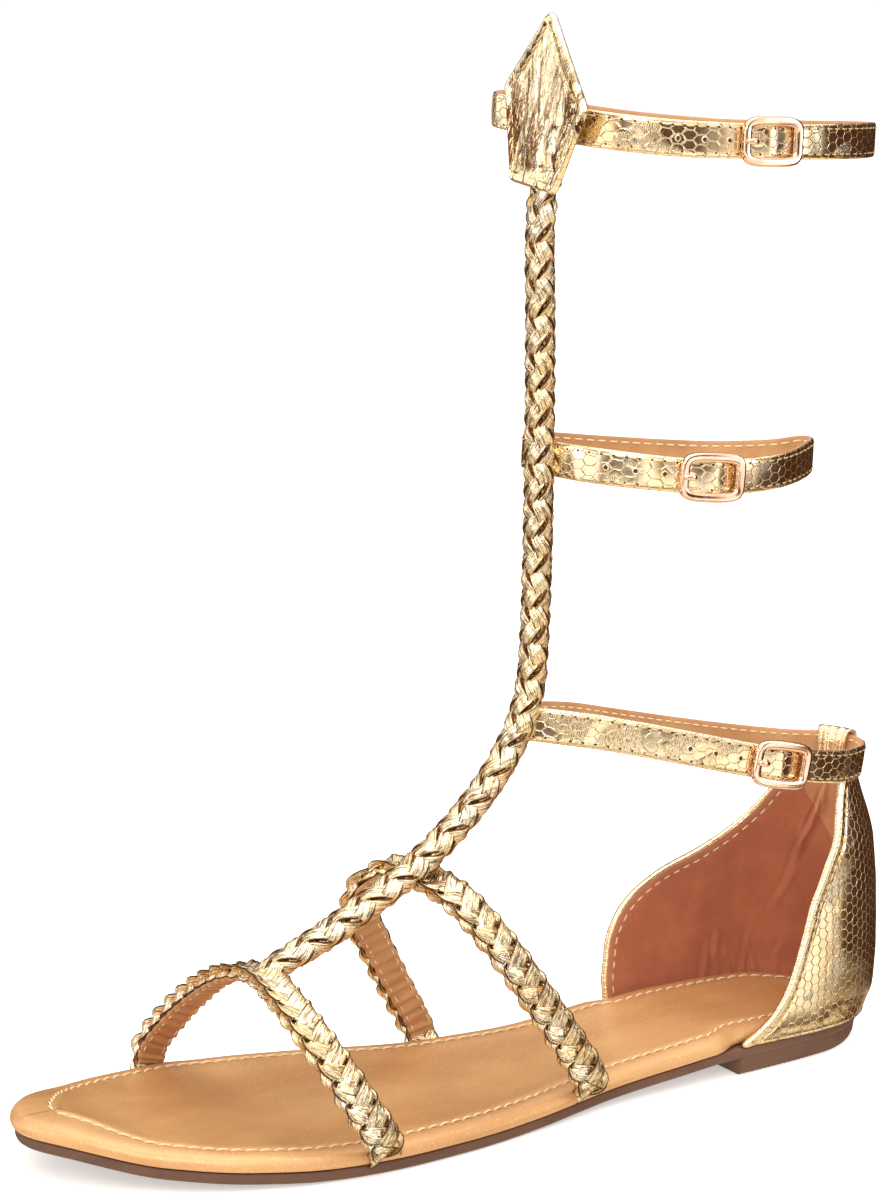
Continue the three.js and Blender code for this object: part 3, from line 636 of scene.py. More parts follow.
def insole_leather(name):
    """Caramel leather with fine gold glitter and a satin finish."""
    t = Tree(name)
    place = t.place()
    cloud = t.noise(t.stretch(place, 1, 0.5, 1), 0.03, 4, 0.6)
    glitter = t.node("ShaderNodeTexVoronoi", {"Vector": place, "Scale": 1.5}, feature="F1")
    chance = t.node("ShaderNodeTexWhiteNoise", {"Vector": glitter.outputs["Position"]}).outputs["Value"]
    spark = t.times(t.level(glitter.outputs["Distance"], 0.16, 0.3, 1.0, 0.0),
                   t.level(chance, 0.55, 0.75))
    pores = t.noise(place, 1.6, 4, 0.6)
    color = t.blend(t.level(cloud, 0.3, 0.72), (0.5, 0.24, 0.09), (0.64, 0.36, 0.15))
    color = t.tint(color, (0.95, 0.72, 0.42), spark, 0.65)
    color = t.blend(t.level(pores, 0.3, 0.55, 0.2, 0.0), color, (0.3, 0.14, 0.06))
    metal = t.plus(t.times(spark, 0.5), 0.25)
    normal = t.bump(t.plus(pores, spark), 0.09, 0.4)
    return t.surface(color, t.level(cloud, 0.2, 0.8, 0.34, 0.44), metal, normal, **{
        "Coat Weight": 0.15, "Coat Roughness": 0.25,
    })


def moulded_rubber(name):
    t = Tree(name)
    place = t.place()
    cloud = t.noise(place, 0.06, 4, 0.6)
    speck = t.noise(place, 3.0, 4, 0.7)
    scuff = t.noise(t.stretch(place, 0.6, 0.6, 3), 0.5, 4, 0.6)
    color = t.blend(t.level(cloud, 0.3, 0.7), (0.095, 0.04, 0.02), (0.13, 0.056, 0.029))
    color = t.blend(t.level(scuff, 0.58, 0.75, 0.0, 0.35), color, (0.19, 0.1, 0.064))
    return t.surface(color, t.level(speck, 0.3, 0.7, 0.5, 0.68), 0.0, t.bump(speck, 0.1, 0.5))


def polished(name):
    """Polished rose-gold plating with a few soft rub marks."""
    t = Tree(name)
    place = t.place()
    rub = t.noise(t.stretch(place, 1, 3, 1), 0.8, 4, 0.6)
    cloud = t.noise(place, 0.25, 2)
    color = t.blend(t.level(cloud, 0.3, 0.7), (0.93, 0.62, 0.45), (0.98, 0.76, 0.63))
    return t.surface(color, t.level(rub, 0.3, 0.75, 0.1, 0.2), 1.0, t.bump(rub, 0.02, 0.3))


def thread(name, color, metallic=0.0):
    t = Tree(name)
    twist = t.node("ShaderNodeTexWave", {
        "Vector": t.stretch(t.lay(), 1.0, 0.6, 1), "Scale": 1.1, "Distortion": 0.5,
    })
    shade = t.blend(t.level(twist.outputs[1], 0.2, 0.8), tuple(c * 0.72 for c in color), color)
    return t.surface(shade, 0.5 if metallic == 0 else 0.35, metallic,
                     t.bump(twist.outputs[1], 0.06, 0.6))


strap_foil = scaled_foil("strap_foil", 3.3, 2.5)
counter_foil = scaled_foil("counter_foil", 2.45, 2.7, wander=0.1, crackle=0.6)
folded_foil = strand_foil("folded_foil", 0.8, plaited=False)
braid_foil = strand_foil("braid_foil")
plaque_foil = crinkled_foil("plaque_foil")
tan_lining = lining("tan_lining", (0.52, 0.28, 0.12), (0.41, 0.19, 0.075))
suede_lining = lining("suede_lining", (0.46, 0.152, 0.074), (0.36, 0.105, 0.05), 1.3, 0.8, 0.5)
heel_strip = lining("heel_strip", (0.56, 0.26, 0.12), (0.45, 0.19, 0.09), 1.0, 0.7, 0.4)
raw_edge = lining("raw_edge", (0.5, 0.21, 0.11), (0.4, 0.15, 0.08), 1.0, 0.6)
footbed = insole_leather("footbed")
brown_rubber = moulded_rubber("brown_rubber")
rose_gold = polished("rose_gold")
pale_thread = thread("pale_thread", (0.9, 0.7, 0.43))
gold_thread = thread("gold_thread", (0.88, 0.66, 0.36), 0.7)
# Near-black lining used as painted shade: the stitch pricks, the floors of the punched holes and the
# round braid's core.
painted_shade = lining("painted_shade", (0.09, 0.03, 0.02), (0.05, 0.02, 0.012), 1.0, 0.8, 0.0)


# ---------- the sole's outline ----------
TURN_STEP = 0.03


def station_of(turn):
    return SOLE_LENGTH * (1 - np.cos(turn)) / 2


def turn_of(station):
    return np.arccos(1 - 2 * np.asarray(station, float) / SOLE_LENGTH)


def outline_point(turn):
    turn = np.asarray(turn, float)
    station = station_of(turn)
    heel = np.clip((HEEL_ROUND - station) / HEEL_ROUND, 0, 1)
    toe = np.clip((station - SOLE_LENGTH + TOE_ROUND) / TOE_ROUND, 0, 1)
    ends = np.sqrt(np.maximum(1 - heel ** 2, 0)) * np.sqrt(np.maximum(1 - toe ** 2, 0))
    lateral = column(OUTLINE, "at", "lateral", station) * ends
    medial = column(OUTLINE, "at", "medial", station) * ends
    centre = TOE_SWING * station / SOLE_LENGTH
    x = np.where(turn < 0, centre - medial, centre + lateral)
    return np.stack([x, SOLE_BACK_Y - station], -1)


def beside_outline(turn, out):
    along = unit(outline_point(turn + TURN_STEP) - outline_point(turn - TURN_STEP))
    square = np.stack([-along[..., 1], along[..., 0]], -1)
    return outline_point(turn) + square * np.asarray(out)[..., None]


def lift_at(station):
    return column(OUTSOLE, "at", "lift", station)


def inset_at(station):
    return column(OUTSOLE, "at", "inset", station)


def round_turns(count):
    return np.pi * (-1 + (2 * np.arange(count) + 1) / count)


def insole_floor(station):
    return lift_at(station) + OUTSOLE_THICK + GAP


def add_cap(builder, ring, columns, shape=None):
    """Closes a ring with rows across it; `shape` raises the rows between its two sides."""
    half = len(ring) // 2
    share = np.linspace(0, 1, columns + 1)
    left, right = ring[:half], ring[::-1][:half]
    rows = left[:, None] * (1 - share)[None, :, None] + right[:, None] * share[None, :, None]
    if shape is not None:
        rows[..., 2] += shape(rows, share)
    builder.grid(rows[1:-1], flat_lay(rows[1:-1]))
    for end, near in ((rows[0], rows[1]), (rows[-1], rows[-2])):
        points = np.vstack([end[[0, -1]], near])
        face = [0] + list(range(2, 2 + len(near))) + [1]
        builder.add(points, [face], flat_lay(points[face]).tolist(), [0])


def sole_ring(turns, inset, heights):
    return with_height(beside_outline(turns, -inset), heights)


# ---------- outsole ----------
# Rows of height and inset; the heel's rows also say how far the teeth bite.
OUTSOLE_EDGE = [
    (0, 1.3), (0.12, 0.75), (0.45, 0.3), (1, 0.05), (1.6, 0), (2.5, 0), (2.85, 0.12), (3, 0.5),
]
HEEL_EDGE = [
    (0, 2.1, 0), (0.03, 1.75, 0.6), (0.35, 1.35, 1), (0.9, 1.1, 1), (1.25, 0.95, 0.4),
    (1.5, 0.85, 0), (3, 0.6, 0),
]
HEEL_SUNK = 0.5
TEETH_POINTS = 420
TOOTH_DEEP = 0.32
TEETH_END_AT = 52
CAP_COLUMNS = 8


def make_outsole():
    turns = round_turns(260)
    station = station_of(turns)
    lift = lift_at(station)
    base = inset_at(station)
    rings = np.array([sole_ring(turns, base + inset, lift + up) for up, inset in OUTSOLE_EDGE])
    builder = Builder("outsole_moulded")
    builder.grid(rings, flat_lay(close_rows(rings)), round_cols=True)
    add_cap(builder, rings[0], CAP_COLUMNS)
    add_cap(builder, rings[-1], CAP_COLUMNS)
    # The low heel, with fine upright teeth round its lower back edge.
    breast = float(turn_of(HEEL_BREAST_AT))
    turns = np.linspace(-breast, breast, TEETH_POINTS)
    station = station_of(turns)
    base = inset_at(station)
    top = lift_at(station) + OUTSOLE_THICK - HEEL_SUNK
    tooth = np.where(np.arange(TEETH_POINTS) % 4 < 2, 0.0, TOOTH_DEEP)
    tooth = tooth * smooth((TEETH_END_AT - station) / 6)
    rows = [sole_ring(turns, base + inset + tooth * bite, 0 * turns + up)
            for up, inset, bite in HEEL_EDGE]
    rows = np.array([*rows, sole_ring(turns, base + HEEL_SUNK, top)])
    builder.grid(rows, flat_lay(rows))
    for ring in (rows[0], rows[-1]):
        half = len(ring) // 2
        builder.grid(np.stack([ring[:half], ring[::-1][:half]], 1))
    builder.grid(np.stack([rows[:, 0], rows[:, -1]], 1))
    builder.finish([brown_rubber], ["outsole"])


# ---------- insole ----------
# Rows of height and inset up the rolled edge, then of place beside the stitches and height.
INSOLE_EDGE = [
    (0, 1.0), (0.25, 0.35), (0.8, 0.03), (1.5, -0.12), (2.3, 0.02), (3.0, 0.42), (3.5, 1.0),
    (3.85, 1.7), (4.1, 2.6), (4.2, 3.6),
]
STITCH_CHANNEL = [(-1.1, 4.16), (-0.45, 3.98), (0, 3.86), (0.45, 3.98), (1.1, 4.14), (2.2, 4.18)]
STITCH_HEIGHT = 4.02
BED_COLUMNS = 26


def insole_inset(turns, station):
    lateral, medial = (column(INSOLE_INSET, "at", side, station) for side in ("lateral", "medial"))
    return np.where(turns < 0, medial, lateral)


def stitch_inset(station):
    return 5.6 + 4.0 * smooth((station - 225) / 22)


def make_insole():
    turns = round_turns(300)
    station = station_of(turns)
    base = insole_inset(turns, station)
    under = insole_floor(station)
    channel = stitch_inset(station)
    wave = wobble(station * np.sign(turns) + 400, 3, 9, 0.12)
    rings = [sole_ring(turns, base + inset, under + up + wave * (up > 2)) for up, inset in INSOLE_EDGE]
    rings += [sole_ring(turns, base + channel + beside, under + up + wave)
              for beside, up in STITCH_CHANNEL]
    rings = np.array(rings)
    builder = Builder("footbed_insole")
    builder.grid(rings, flat_lay(close_rows(rings)), round_cols=True)
    add_cap(builder, rings[0], CAP_COLUMNS)

    def bed(rows, share):
        """The foot's hollow: a shallow bowl, a deeper heel seat and a little unevenness."""
        y = rows[..., 1]
        middle = np.sin(np.pi * share)
        bowl = -0.9 * middle ** 0.8 * smooth((SOLE_BACK_Y - 6 - y) / 14)
        heel = -0.5 * bell(y - 14, 22) * middle
        soft = 0.1 * np.sin(y * 0.11 + 3 * share) * middle
        return (bowl + heel + soft) * smooth((y + 205) / 12)

    add_cap(builder, rings[-1], BED_COLUMNS, bed)
    builder.finish([footbed], ["insole"])

    seam = Builder("footbed_stitches")
    fine = np.linspace(-np.pi + 0.02, np.pi - 0.02, 900)
    far = station_of(fine)
    inset, height = insole_inset(fine, far) + stitch_inset(far), insole_floor(far) + STITCH_HEIGHT
    line = sole_ring(fine, inset, height)
    up = np.tile([0.0, 0.0, 1.0], (len(fine), 1))
    stitch_row(seam, line, up, long=3.1, gap=0.35, radius=0.3, sunk=-0.05, slant=0.2)
    seam.finish([pale_thread])


# ---------- heel counter ----------
COUNTER_COLUMNS = 280
COUNTER_ROWS = 112
COUNTER_LOW, COUNTER_HIGH = 7.2, 70.5
COUNTER_BACK = 32
FOIL, HEM, SUEDE, STRIP, EDGE = range(5)
# Where the foil's hem, the lining's edge band and its turned edge end, from the free edge.
HEM_WIDE, BAND_WIDE, TURN_WIDE = 2.4, 3.1, 0.95
# The lining's creases: place along the outline, lean, lowest and highest z, depth and width.
CREASES = [
    (-46, 0.05, 9, 26, 0.9, 1.2), (-41.5, -0.15, 9, 21, 0.8, 1.1), (-37, 0.2, 9, 24, 0.8, 1.0),
    (-33, -0.1, 9, 20, 0.7, 1.2), (-51, 0.25, 9, 22, 0.6, 1.4), (-28, 0.3, 9, 22, 0.6, 1.3),
    (-20.5, 0.42, 46, 66, 1.0, 1.1), (-16.5, 0.4, 52, 68, 0.9, 1.0), (-24, 0.3, 36, 54, 0.6, 1.4),
    (-27, 0.5, 30, 44, 0.4, 1.6), (-12, 0.2, 58, 72, 0.6, 0.9),
    (16, -0.2, 12, 34, 0.5, 1.6), (26, -0.3, 10, 26, 0.5, 1.5),
]


def counter_grid(columns, heights):
    across = np.linspace(0, 1, columns)
    across = mix(across, (1 - np.cos(np.pi * across)) / 2, 0.75)
    height = heights[:, None]
    medial, lateral, back, side = (
        column(COUNTER, "height", key, height) for key in ("medial", "lateral", "back", "side"))
    medial, lateral = turn_of(medial), turn_of(lateral)
    turns = -medial + (lateral + medial) * across[None, :]
    station = station_of(turns)
    swell = mix(side, back, 1 - np.clip(station / COUNTER_BACK, 0, 1) ** 1.5)
    sunk = 1 - np.clip((height - COUNTER_LOW) / 30, 0, 1)
    rise = (insole_floor(station) - COUNTER_LOW) * sunk
    return turns, station, swell, height + rise


def arc_of(turns):
    """Millimetres along the sole's outline from the back of the heel, lateral side positive."""
    fine = np.linspace(-1.4, 1.4, 1200)
    run = run_of(outline_point(fine))
    return np.interp(turns, fine, run) - np.interp(0, fine, run)


def crease_depth(arc, z):
    """Each crease is a trough with a softer ridge beside it."""
    total = 0
    for place, lean, low, high, deep, wide in CREASES:
        line = arc - place - lean * (z - low) - wobble(z, int(place * 7) + 900, 4, 0.6)
        reach = smooth((z - low + 3) / 6) * smooth((high - z) / 6)
        total = total + deep * reach * (bell(line - wide, wide) - 0.8 * bell(line, 0.55 * wide))
    return total


def edge_lines(sheet, away, distance):
    """The two lines at one distance inside the wings' free edges, from the sole up."""
    lines = []
    for order in (1, -1):
        found = []
        for side, row in zip(sheet[4:, ::order], away[4:, ::order]):
            past = np.nonzero(row[:COUNTER_COLUMNS // 2] > distance)[0]
            if len(past) and past[0] > 0:
                i = past[0]
                share = (distance - row[i - 1]) / (row[i] - row[i - 1])
                found.append(mix(side[i - 1], side[i], share))
        lines.append(np.array(found))
    return lines


def make_counter():
    share = np.linspace(0, 1, COUNTER_ROWS)
    heights = COUNTER_LOW + (COUNTER_HIGH - COUNTER_LOW) * (1 - (1 - share) ** 1.3)
    turns, station, swell, z = counter_grid(COUNTER_COLUMNS, heights)
    # The top follows the ankle strap's lower edge, which climbs towards the front, and is
    # tucked inside the strap.
    z = z + (3.2 + 0.11 * station) * smooth((heights[:, None] - 58) / 12.5)
    swell = swell - 2.6 * smooth((z - 55) / 18)
    middle = with_height(beside_outline(turns, swell - COUNTER_WALL / 2), z)
    border = np.vstack([middle[:, 0], middle[-1], middle[:, -1]])
    flat = middle.reshape(-1, 3)
    away = np.array([np.linalg.norm(border - p, axis=1).min() for p in flat]).reshape(z.shape)
    # The wall rounds over at its free edges; the foil is folded there into a soft bead.
    roll = COUNTER_WALL / 2 * (1 - np.sqrt(1 - (1 - np.clip(away / 1.1, 0, 1)) ** 2))
    bead = 0.28 * bell(away - 1.3, 0.9) - 0.16 * bell(away - 2.9, 0.35)
    along = station * np.sign(turns)
    ripple = wobble(along * 2 + z * 1.2, 11, 1.7, 0.07) * bell(away - 1.2, 1.1)
    dents = wobble(along, 12, 19, 0.12) * wobble(z, 13, 21, 1.0) * smooth(away / 8)
    outer = with_height(beside_outline(turns, swell - roll + bead + ripple + dents), z)
    # The lining: an edge band, a heel strip and suede with creases.
    arc = arc_of(turns)
    seam = -0.22 * bell(away - 3.2, 0.35) + 0.14 * bell(away - 1.6, 1.1)
    soft = wobble(arc, 21, 7, 0.12) * wobble(z, 22, 9, 1.0)
    relief = (seam + crease_depth(arc, z) + soft) * smooth(away / 1.6)
    inner = with_height(beside_outline(turns, swell - (COUNTER_WALL - roll) - relief), z)
    lay = np.stack([arc, z, 0 * z], -1)
    builder = Builder("counter_shell")
    middle_away = (away[1:, 1:] + away[:-1, :-1]) / 2
    middle_arc = (arc[1:, 1:] + arc[:-1, :-1]) / 2
    builder.grid(outer, lay, np.where(middle_away < HEM_WIDE, HEM, FOIL))
    kinds = np.full(middle_away.shape, SUEDE)
    half_strip = 6 + 13 * smooth((z[1:, 1:] - 40) / 32)
    kinds[np.abs(middle_arc) < half_strip] = STRIP
    kinds[middle_away < BAND_WIDE] = EDGE
    kinds[middle_away < TURN_WIDE] = HEM
    builder.grid(inner, lay, kinds)
    builder.grid(np.stack([outer[0], inner[0]]), None, SUEDE)
    builder.finish([counter_foil, folded_foil, suede_lining, heel_strip, raw_edge],
                   ["heel_counter"])

    # Stitch lines beside the free edges, outside and inside.
    threads = Builder("counter_stitches")
    for sheet, other, distance, long, gap, radius, kind in (
        (outer, inner, 2.9, 2.0, 0.7, 0.2, 0), (inner, outer, 3.2, 2.3, 1.1, 0.24, 1),
    ):
        near, far = sheet.reshape(-1, 3), other.reshape(-1, 3)
        for line in edge_lines(sheet, away, distance):
            nearest = [np.argmin(np.linalg.norm(near - p, axis=1)) for p in line]
            normal = unit(near[nearest] - far[nearest])
            stitch_row(threads, line, normal, long, gap, radius, sunk=-0.04, kind=kind)
    threads.finish([gold_thread, pale_thread])


# ---------- braids ----------
PLEATS_ACROSS = 7.4
# A flat braid's ends are narrowed over END_FADE mm and tucked in by END_TUCK.
END_FADE, END_TUCK = 6, 1.5
ROUND_PHASE = 0.35
ROUND_CORE = 0.27


def braid_frames(rows, facing, step):
    table = np.array(rows, float)
    path = Path(table[:, :3])
    s = np.linspace(0, path.length, int(path.length / step))
    points, along = path.points(s), path.tangents(s)
    out = square_to(facing(points), along)
    wide, thick = (np.interp(path.row(s), np.arange(len(table)), table[:, k]) for k in (3, 4))
    return s, points, out, np.cross(out, along), wide, thick


def toe_facing(p):
    return np.stack([p[:, 0], 0 * p[:, 0], p[:, 2] - 16], -1)


def instep_facing(p):
    return np.stack([p[:, 0], -0.25 * (p[:, 2] - 20), p[:, 2] - 24], -1)


def shin_facing(p):
    return np.stack([p[:, 0], p[:, 1] - 60, p[:, 2]], -1)


def close_ends(builder, rings, lay):
    around = rings.shape[1]
    for end in (0, -1):
        builder.add(rings[end], [tuple(range(around))], lay[end, :around].tolist(), [0])


def strand(builder, centre, normal, half_wide, half_thick, around, pleats, seed, strand_id):
    """One folded strip: a flattened tube with pleats pressed along it."""
    along = unit(np.gradient(centre, axis=0))
    out = square_to(normal, along)
    length = run_of(centre)
    turn = full_turn(around)
    v = np.cos(turn)
    body = squared(np.sin(turn), 0.8)
    drift = wobble(length, seed, 5.0, 0.9)[:, None]
    deep = 0.75 + wobble(length, seed + 1, 4.0, 0.35)[:, None]
    press = pleats * deep * np.cos(v * PLEATS_ACROSS + drift) * (1 - v ** 4)
    press = press + wobble(length[:, None] * 0.5 + v * 9, seed + 2, 2.3, pleats * 0.3)
    rise = half_thick[:, None] * body + press * body
    points = sections(centre, (half_wide[:, None] * v, np.cross(along, out)), (rise, out))
    lay = lay_grid(length, closed_turn(turn) * STRAND_LAY, strand_id)
    builder.grid(points, lay, round_cols=True)
    close_ends(builder, points, lay)


def flat_braid(name, rows, facing, pitch, replaces=()):
    """Three folded strips plaited flat; they cross every `pitch` mm."""
    s, points, out, across, wide, thick = braid_frames(rows, facing, 0.7)
    builder = Builder(name)
    period = 3 * pitch
    from_end = np.minimum(s, s[-1] - s)
    end = smooth(from_end / END_FADE)
    tucked = END_TUCK * (1 - smooth(from_end / 3.5))
    half_thick = thick * 0.175
    for k in range(3):
        theta = -2 * np.pi * s / period + 2 * np.pi * k / 3
        theta = theta + wobble(s, 40 + k, 14, 0.12)
        reach = (wide / 2 - half_thick * 0.9) * mix(0.72, 1, end)
        weave = np.sin(2 * theta)
        lift = 0.72 * (thick / 2 - half_thick) * np.where(weave > 0, weave, 0.45 * weave)
        centre = points + across * (reach * np.cos(theta))[:, None] + out * (lift - tucked)[:, None]
        spin = theta - np.pi / 2
        spin = spin - 0.42 * np.sin(2 * spin)
        normal = out * np.cos(spin)[:, None] + across * np.sin(spin)[:, None]
        half_wide = wide * 0.278 * mix(1, 0.58 + 0.42 * np.abs(np.sin(theta)) ** 0.8, end)
        half_wide = half_wide * mix(0.45, 1, smooth(from_end / 2.5))
        strand(builder, centre, normal, half_wide, half_thick, 18, 0.12, 50 + 7 * k, k + 1)
    builder.finish([braid_foil], replaces)


def round_braid(name, rows, facing, pitch, pairs, replaces=()):
    """Strips plaited round: as many wind one way as the other, over one and under one."""
    s, points, out, across, wide, thick = braid_frames(rows, facing, 0.8)
    builder = Builder(name)
    half_thick = 0.13 * thick
    radius_a, radius_b = wide / 2 - half_thick * 1.7, thick / 2 - half_thick * 1.7
    for number in range(2 * pairs):
        way = 1 if number < pairs else -1
        psi = way * 2 * np.pi * s / (pairs * pitch) + 2 * np.pi * (number % pairs) / pairs
        psi = psi + ROUND_PHASE + wobble(s, 90 + number, 12, 0.07)
        over = 0.12 * thick * (way * np.cos(pairs * (psi - ROUND_PHASE)))
        a = (radius_a + over) * np.cos(psi)
        b = (radius_b + over) * np.sin(psi)
        centre = points + across * a[:, None] + out * b[:, None]
        normal = (across * (np.cos(psi) / np.maximum(radius_a, 0.5))[:, None]
                  + out * (np.sin(psi) / np.maximum(radius_b, 0.5))[:, None])
        strand(builder, centre, normal, 0.225 * wide, half_thick, 22, 0.2, 120 + 9 * number,
               number + 1)
    # The braid's core is a dark tube of painted shade, seen between the strips.
    tube(builder, points, across, out, ROUND_CORE * wide, ROUND_CORE * thick, around=12, kind=1)
    builder.finish([braid_foil, painted_shade], replaces)


# Across and out, round the lining strip's edge.
BACKING_SECTION = [
    (-1, 0), (-0.94, 0.35), (-0.6, 0.42), (-0.2, 0.45), (0.2, 0.45), (0.6, 0.42), (0.94, 0.35),
    (1, 0), (0.94, -0.35), (0.75, -0.5), (0.45, -0.5), (0.15, -0.5), (-0.15, -0.5), (-0.45, -0.5),
    (-0.75, -0.5), (-0.94, -0.35),
]


def backing(name, rows, facing, wide_share, sunk, pitch, span):
    """The lining strip behind a braid, ruched across by the plait."""
    frames = braid_frames(rows, facing, 0.6)
    count = len(frames[0])
    keep = slice(int(span[0] * count), int(span[1] * count))
    s, points, out, across, wide, thick = (values[keep] for values in frames)
    v, w = np.array(BACKING_SECTION, float).T
    slant = s[:, None] + 0.9 * v + wobble(s[:, None] + v, 31, 3, 0.5)
    wave = 2 * np.pi * slant / pitch
    fold = np.cos(wave) + 0.5 * np.cos(2 * np.pi * slant / (pitch * 0.57) + 1)
    puff = np.where(w < 0, -0.4 * fold * (1 - 0.5 * v ** 2), 0)
    depth = -(thick[:, None] / 2 + sunk) + w + puff
    spread = wide[:, None] / 2 * wide_share * v * (1 + 0.05 * np.cos(wave))
    rings = sections(points, (spread, across), (depth, out))
    lay = lay_grid(s, np.zeros(len(v) + 1))
    builder = Builder(name)
    builder.grid(rings, lay, round_cols=True)
    close_ends(builder, rings, lay)
    builder.finish([tan_lining])
    threads = Builder(name + "_stitches")
    for edge in (-1, 1):
        aside = edge * wide / 2 * (wide_share - 0.26)
        line = points + across * aside[:, None] - out * (thick / 2 + sunk + 0.5)[:, None]
        stitch_row(threads, line, -out, 2.4, 1.0, 0.2, sunk=-0.02)
    threads.finish([pale_thread])


# ---------- leg straps ----------
class LegStrap:
    def __init__(self, key):
        self.key = key
        buckle_y, route = LEG_STRAPS[key]
        self.path = Path(route, closed=True)
        rear = max(route, key=lambda p: p[1])
        front = route[0]
        lean = (rear[2] - front[2]) / (rear[1] - front[1])
        self.up = np.array([0, -lean, 1]) / math.hypot(lean, 1)
        s = np.linspace(0.1, 0.5, 2000) * self.path.length
        self.centre = s[np.argmin(np.abs(self.path.points(s)[:, 1] - buckle_y))]

    def frames(self, s):
        points, along = self.path.points(s), self.path.tangents(s)
        across = unit(self.up - along * (along @ self.up)[..., None])
        return points, along, across, np.cross(along, across)

    def lifted(self, s):
        points, along, across, out = self.frames(s)
        away = (np.mod(s, self.path.length) - self.centre) / LIFT_LENGTH
        return points + out * (BAR_LIFT * bell(away, 1))[:, None], along, across, out


# Across and out, as shares of the strap's half width and half thickness.
STRAP_SECTION = [
    (-0.88, 0.96), (-0.66, 1.02), (-0.33, 1.07), (0, 1.09), (0.33, 1.07), (0.66, 1.02), (0.88, 0.96),
    (0.965, 0.72), (1, 0.3), (1, -0.25), (0.975, -0.62), (0.9, -0.86), (0.6, -0.92), (0.3, -0.95),
    (0, -0.96), (-0.3, -0.95), (-0.6, -0.92), (-0.9, -0.86), (-0.975, -0.62), (-1, -0.25), (-1, 0.3),
    (-0.965, 0.72),
]


STRAP_LINING = slice(8, 19)
STRAP_EDGES = [8, 9, 18, 19]
STITCH_INSET = 1.25
HOLES_AT = (-12.3, -19.6, -26.9)
# Radius and height round a punched hole's rim, from its floor to its outer edge.
HOLE_RIM = [(0.02, -0.05), (0.5, -0.045), (0.56, 0), (0.72, 0.05), (0.86, -0.02), (0.9, -0.2)]
HOLE_AROUND = 20


def make_leg_strap(strap, seed):
    length = strap.path.length
    count = int(length / 0.8)
    s = np.linspace(0, length, count, endpoint=False)
    points, along, across, out = strap.lifted(s)
    v, w = np.array(STRAP_SECTION, float).T

    def round_wobble(scale, amount, salt):
        """Noise that meets itself where the strap closes."""
        there = np.sin(2 * np.pi * s / length) * length / 6
        return wobble(there, seed + salt, scale, amount)[:, None]

    half = STRAP_WIDE / 2 + round_wobble(9, 0.08, 1)
    swell = round_wobble(11, 0.12, 2) * v + round_wobble(7, 0.1, 3) * (1 - v ** 2)
    buckles = wobble(s[:, None] + v * 1.5, seed + 4, 2.2, 0.05)
    height = STRAP_THICK / 2 * w + swell + buckles * (w > 0)
    rings = sections(points, (half * v, across), (height, out))
    arc = run_of(np.stack([v * STRAP_WIDE / 2, w * STRAP_THICK / 2], 1))
    lay = lay_grid(np.append(s, length), np.append(arc, arc[-1] + 0.3), seed)
    kinds = np.zeros(len(v), int)
    kinds[STRAP_LINING] = 1
    kinds[STRAP_EDGES] = 2
    builder = Builder(f"{strap.key}_strap")
    builder.grid(rings, lay, kinds, round_rows=True, round_cols=True)
    builder.finish([strap_foil, tan_lining, raw_edge])

    threads = Builder(f"{strap.key}_strap_stitches")
    fine = np.arange(0, length, 0.5)
    points, along, across, out = strap.lifted(fine)
    for edge in (-1, 1):
        side = across * (edge * (STRAP_WIDE / 2 - STITCH_INSET))
        stitch_row(threads, points + side + out * (STRAP_THICK / 2 * 1.02), out, 2.3, 0.95, 0.17,
                   sunk=-0.01, kind=0, prick_shade=2)
        stitch_row(threads, points + side - out * (STRAP_THICK / 2 * 0.93), -out, 2.4, 0.9, 0.22,
                   sunk=-0.03, kind=1)
    threads.finish([gold_thread, pale_thread, painted_shade])

    # Punched holes on the toe side of the buckle, rimmed on both faces; inside each rim is a dark floor
    # of painted shade.
    holes = Builder(f"{strap.key}_strap_holes")
    angle = full_turn(HOLE_AROUND)
    radius, up = np.array(HOLE_RIM).T[..., None]
    for shift in HOLES_AT:
        point, along, across, out = (v[0] for v in strap.lifted(np.array([strap.centre + shift])))
        for face, lift in ((1, STRAP_THICK / 2 * 1.09 + 0.1), (-1, STRAP_THICK / 2 + 0.02)):
            rings = (point + out * (face * (lift + up + 0 * angle))[..., None]
                     + along * (radius * np.cos(angle))[..., None]
                     + across * (radius * np.sin(angle))[..., None])
            holes.grid(rings, None, np.array([1, 1, 0, 0, 0])[:, None], round_cols=True)
    holes.finish([folded_foil, painted_shade])


# ---------- buckles ----------
def place_on_strap(strap, local):
    points, along, across, out = (v[0] for v in strap.frames(np.array([strap.centre])))
    return points + local[..., :1] * along + local[..., 1:2] * across + local[..., 2:] * out


# Across and out, round the frame's wall, as shares of its half sizes.
FRAME_SECTION = [
    (-1, -0.1), (-0.98, 0.35), (-0.86, 0.72), (-0.66, 0.9), (-0.2, 0.97), (0.3, 1.0), (0.72, 0.97),
    (0.92, 0.8), (1, 0.4), (1, -0.3), (0.92, -0.8), (0.6, -1), (0, -1), (-0.75, -0.95), (-0.95, -0.5),
]
FRAME_WALL = 2.4
FRAME_CORNER = 0.36
BAR_HALF = 0.85
PRONG_HALF = 0.62


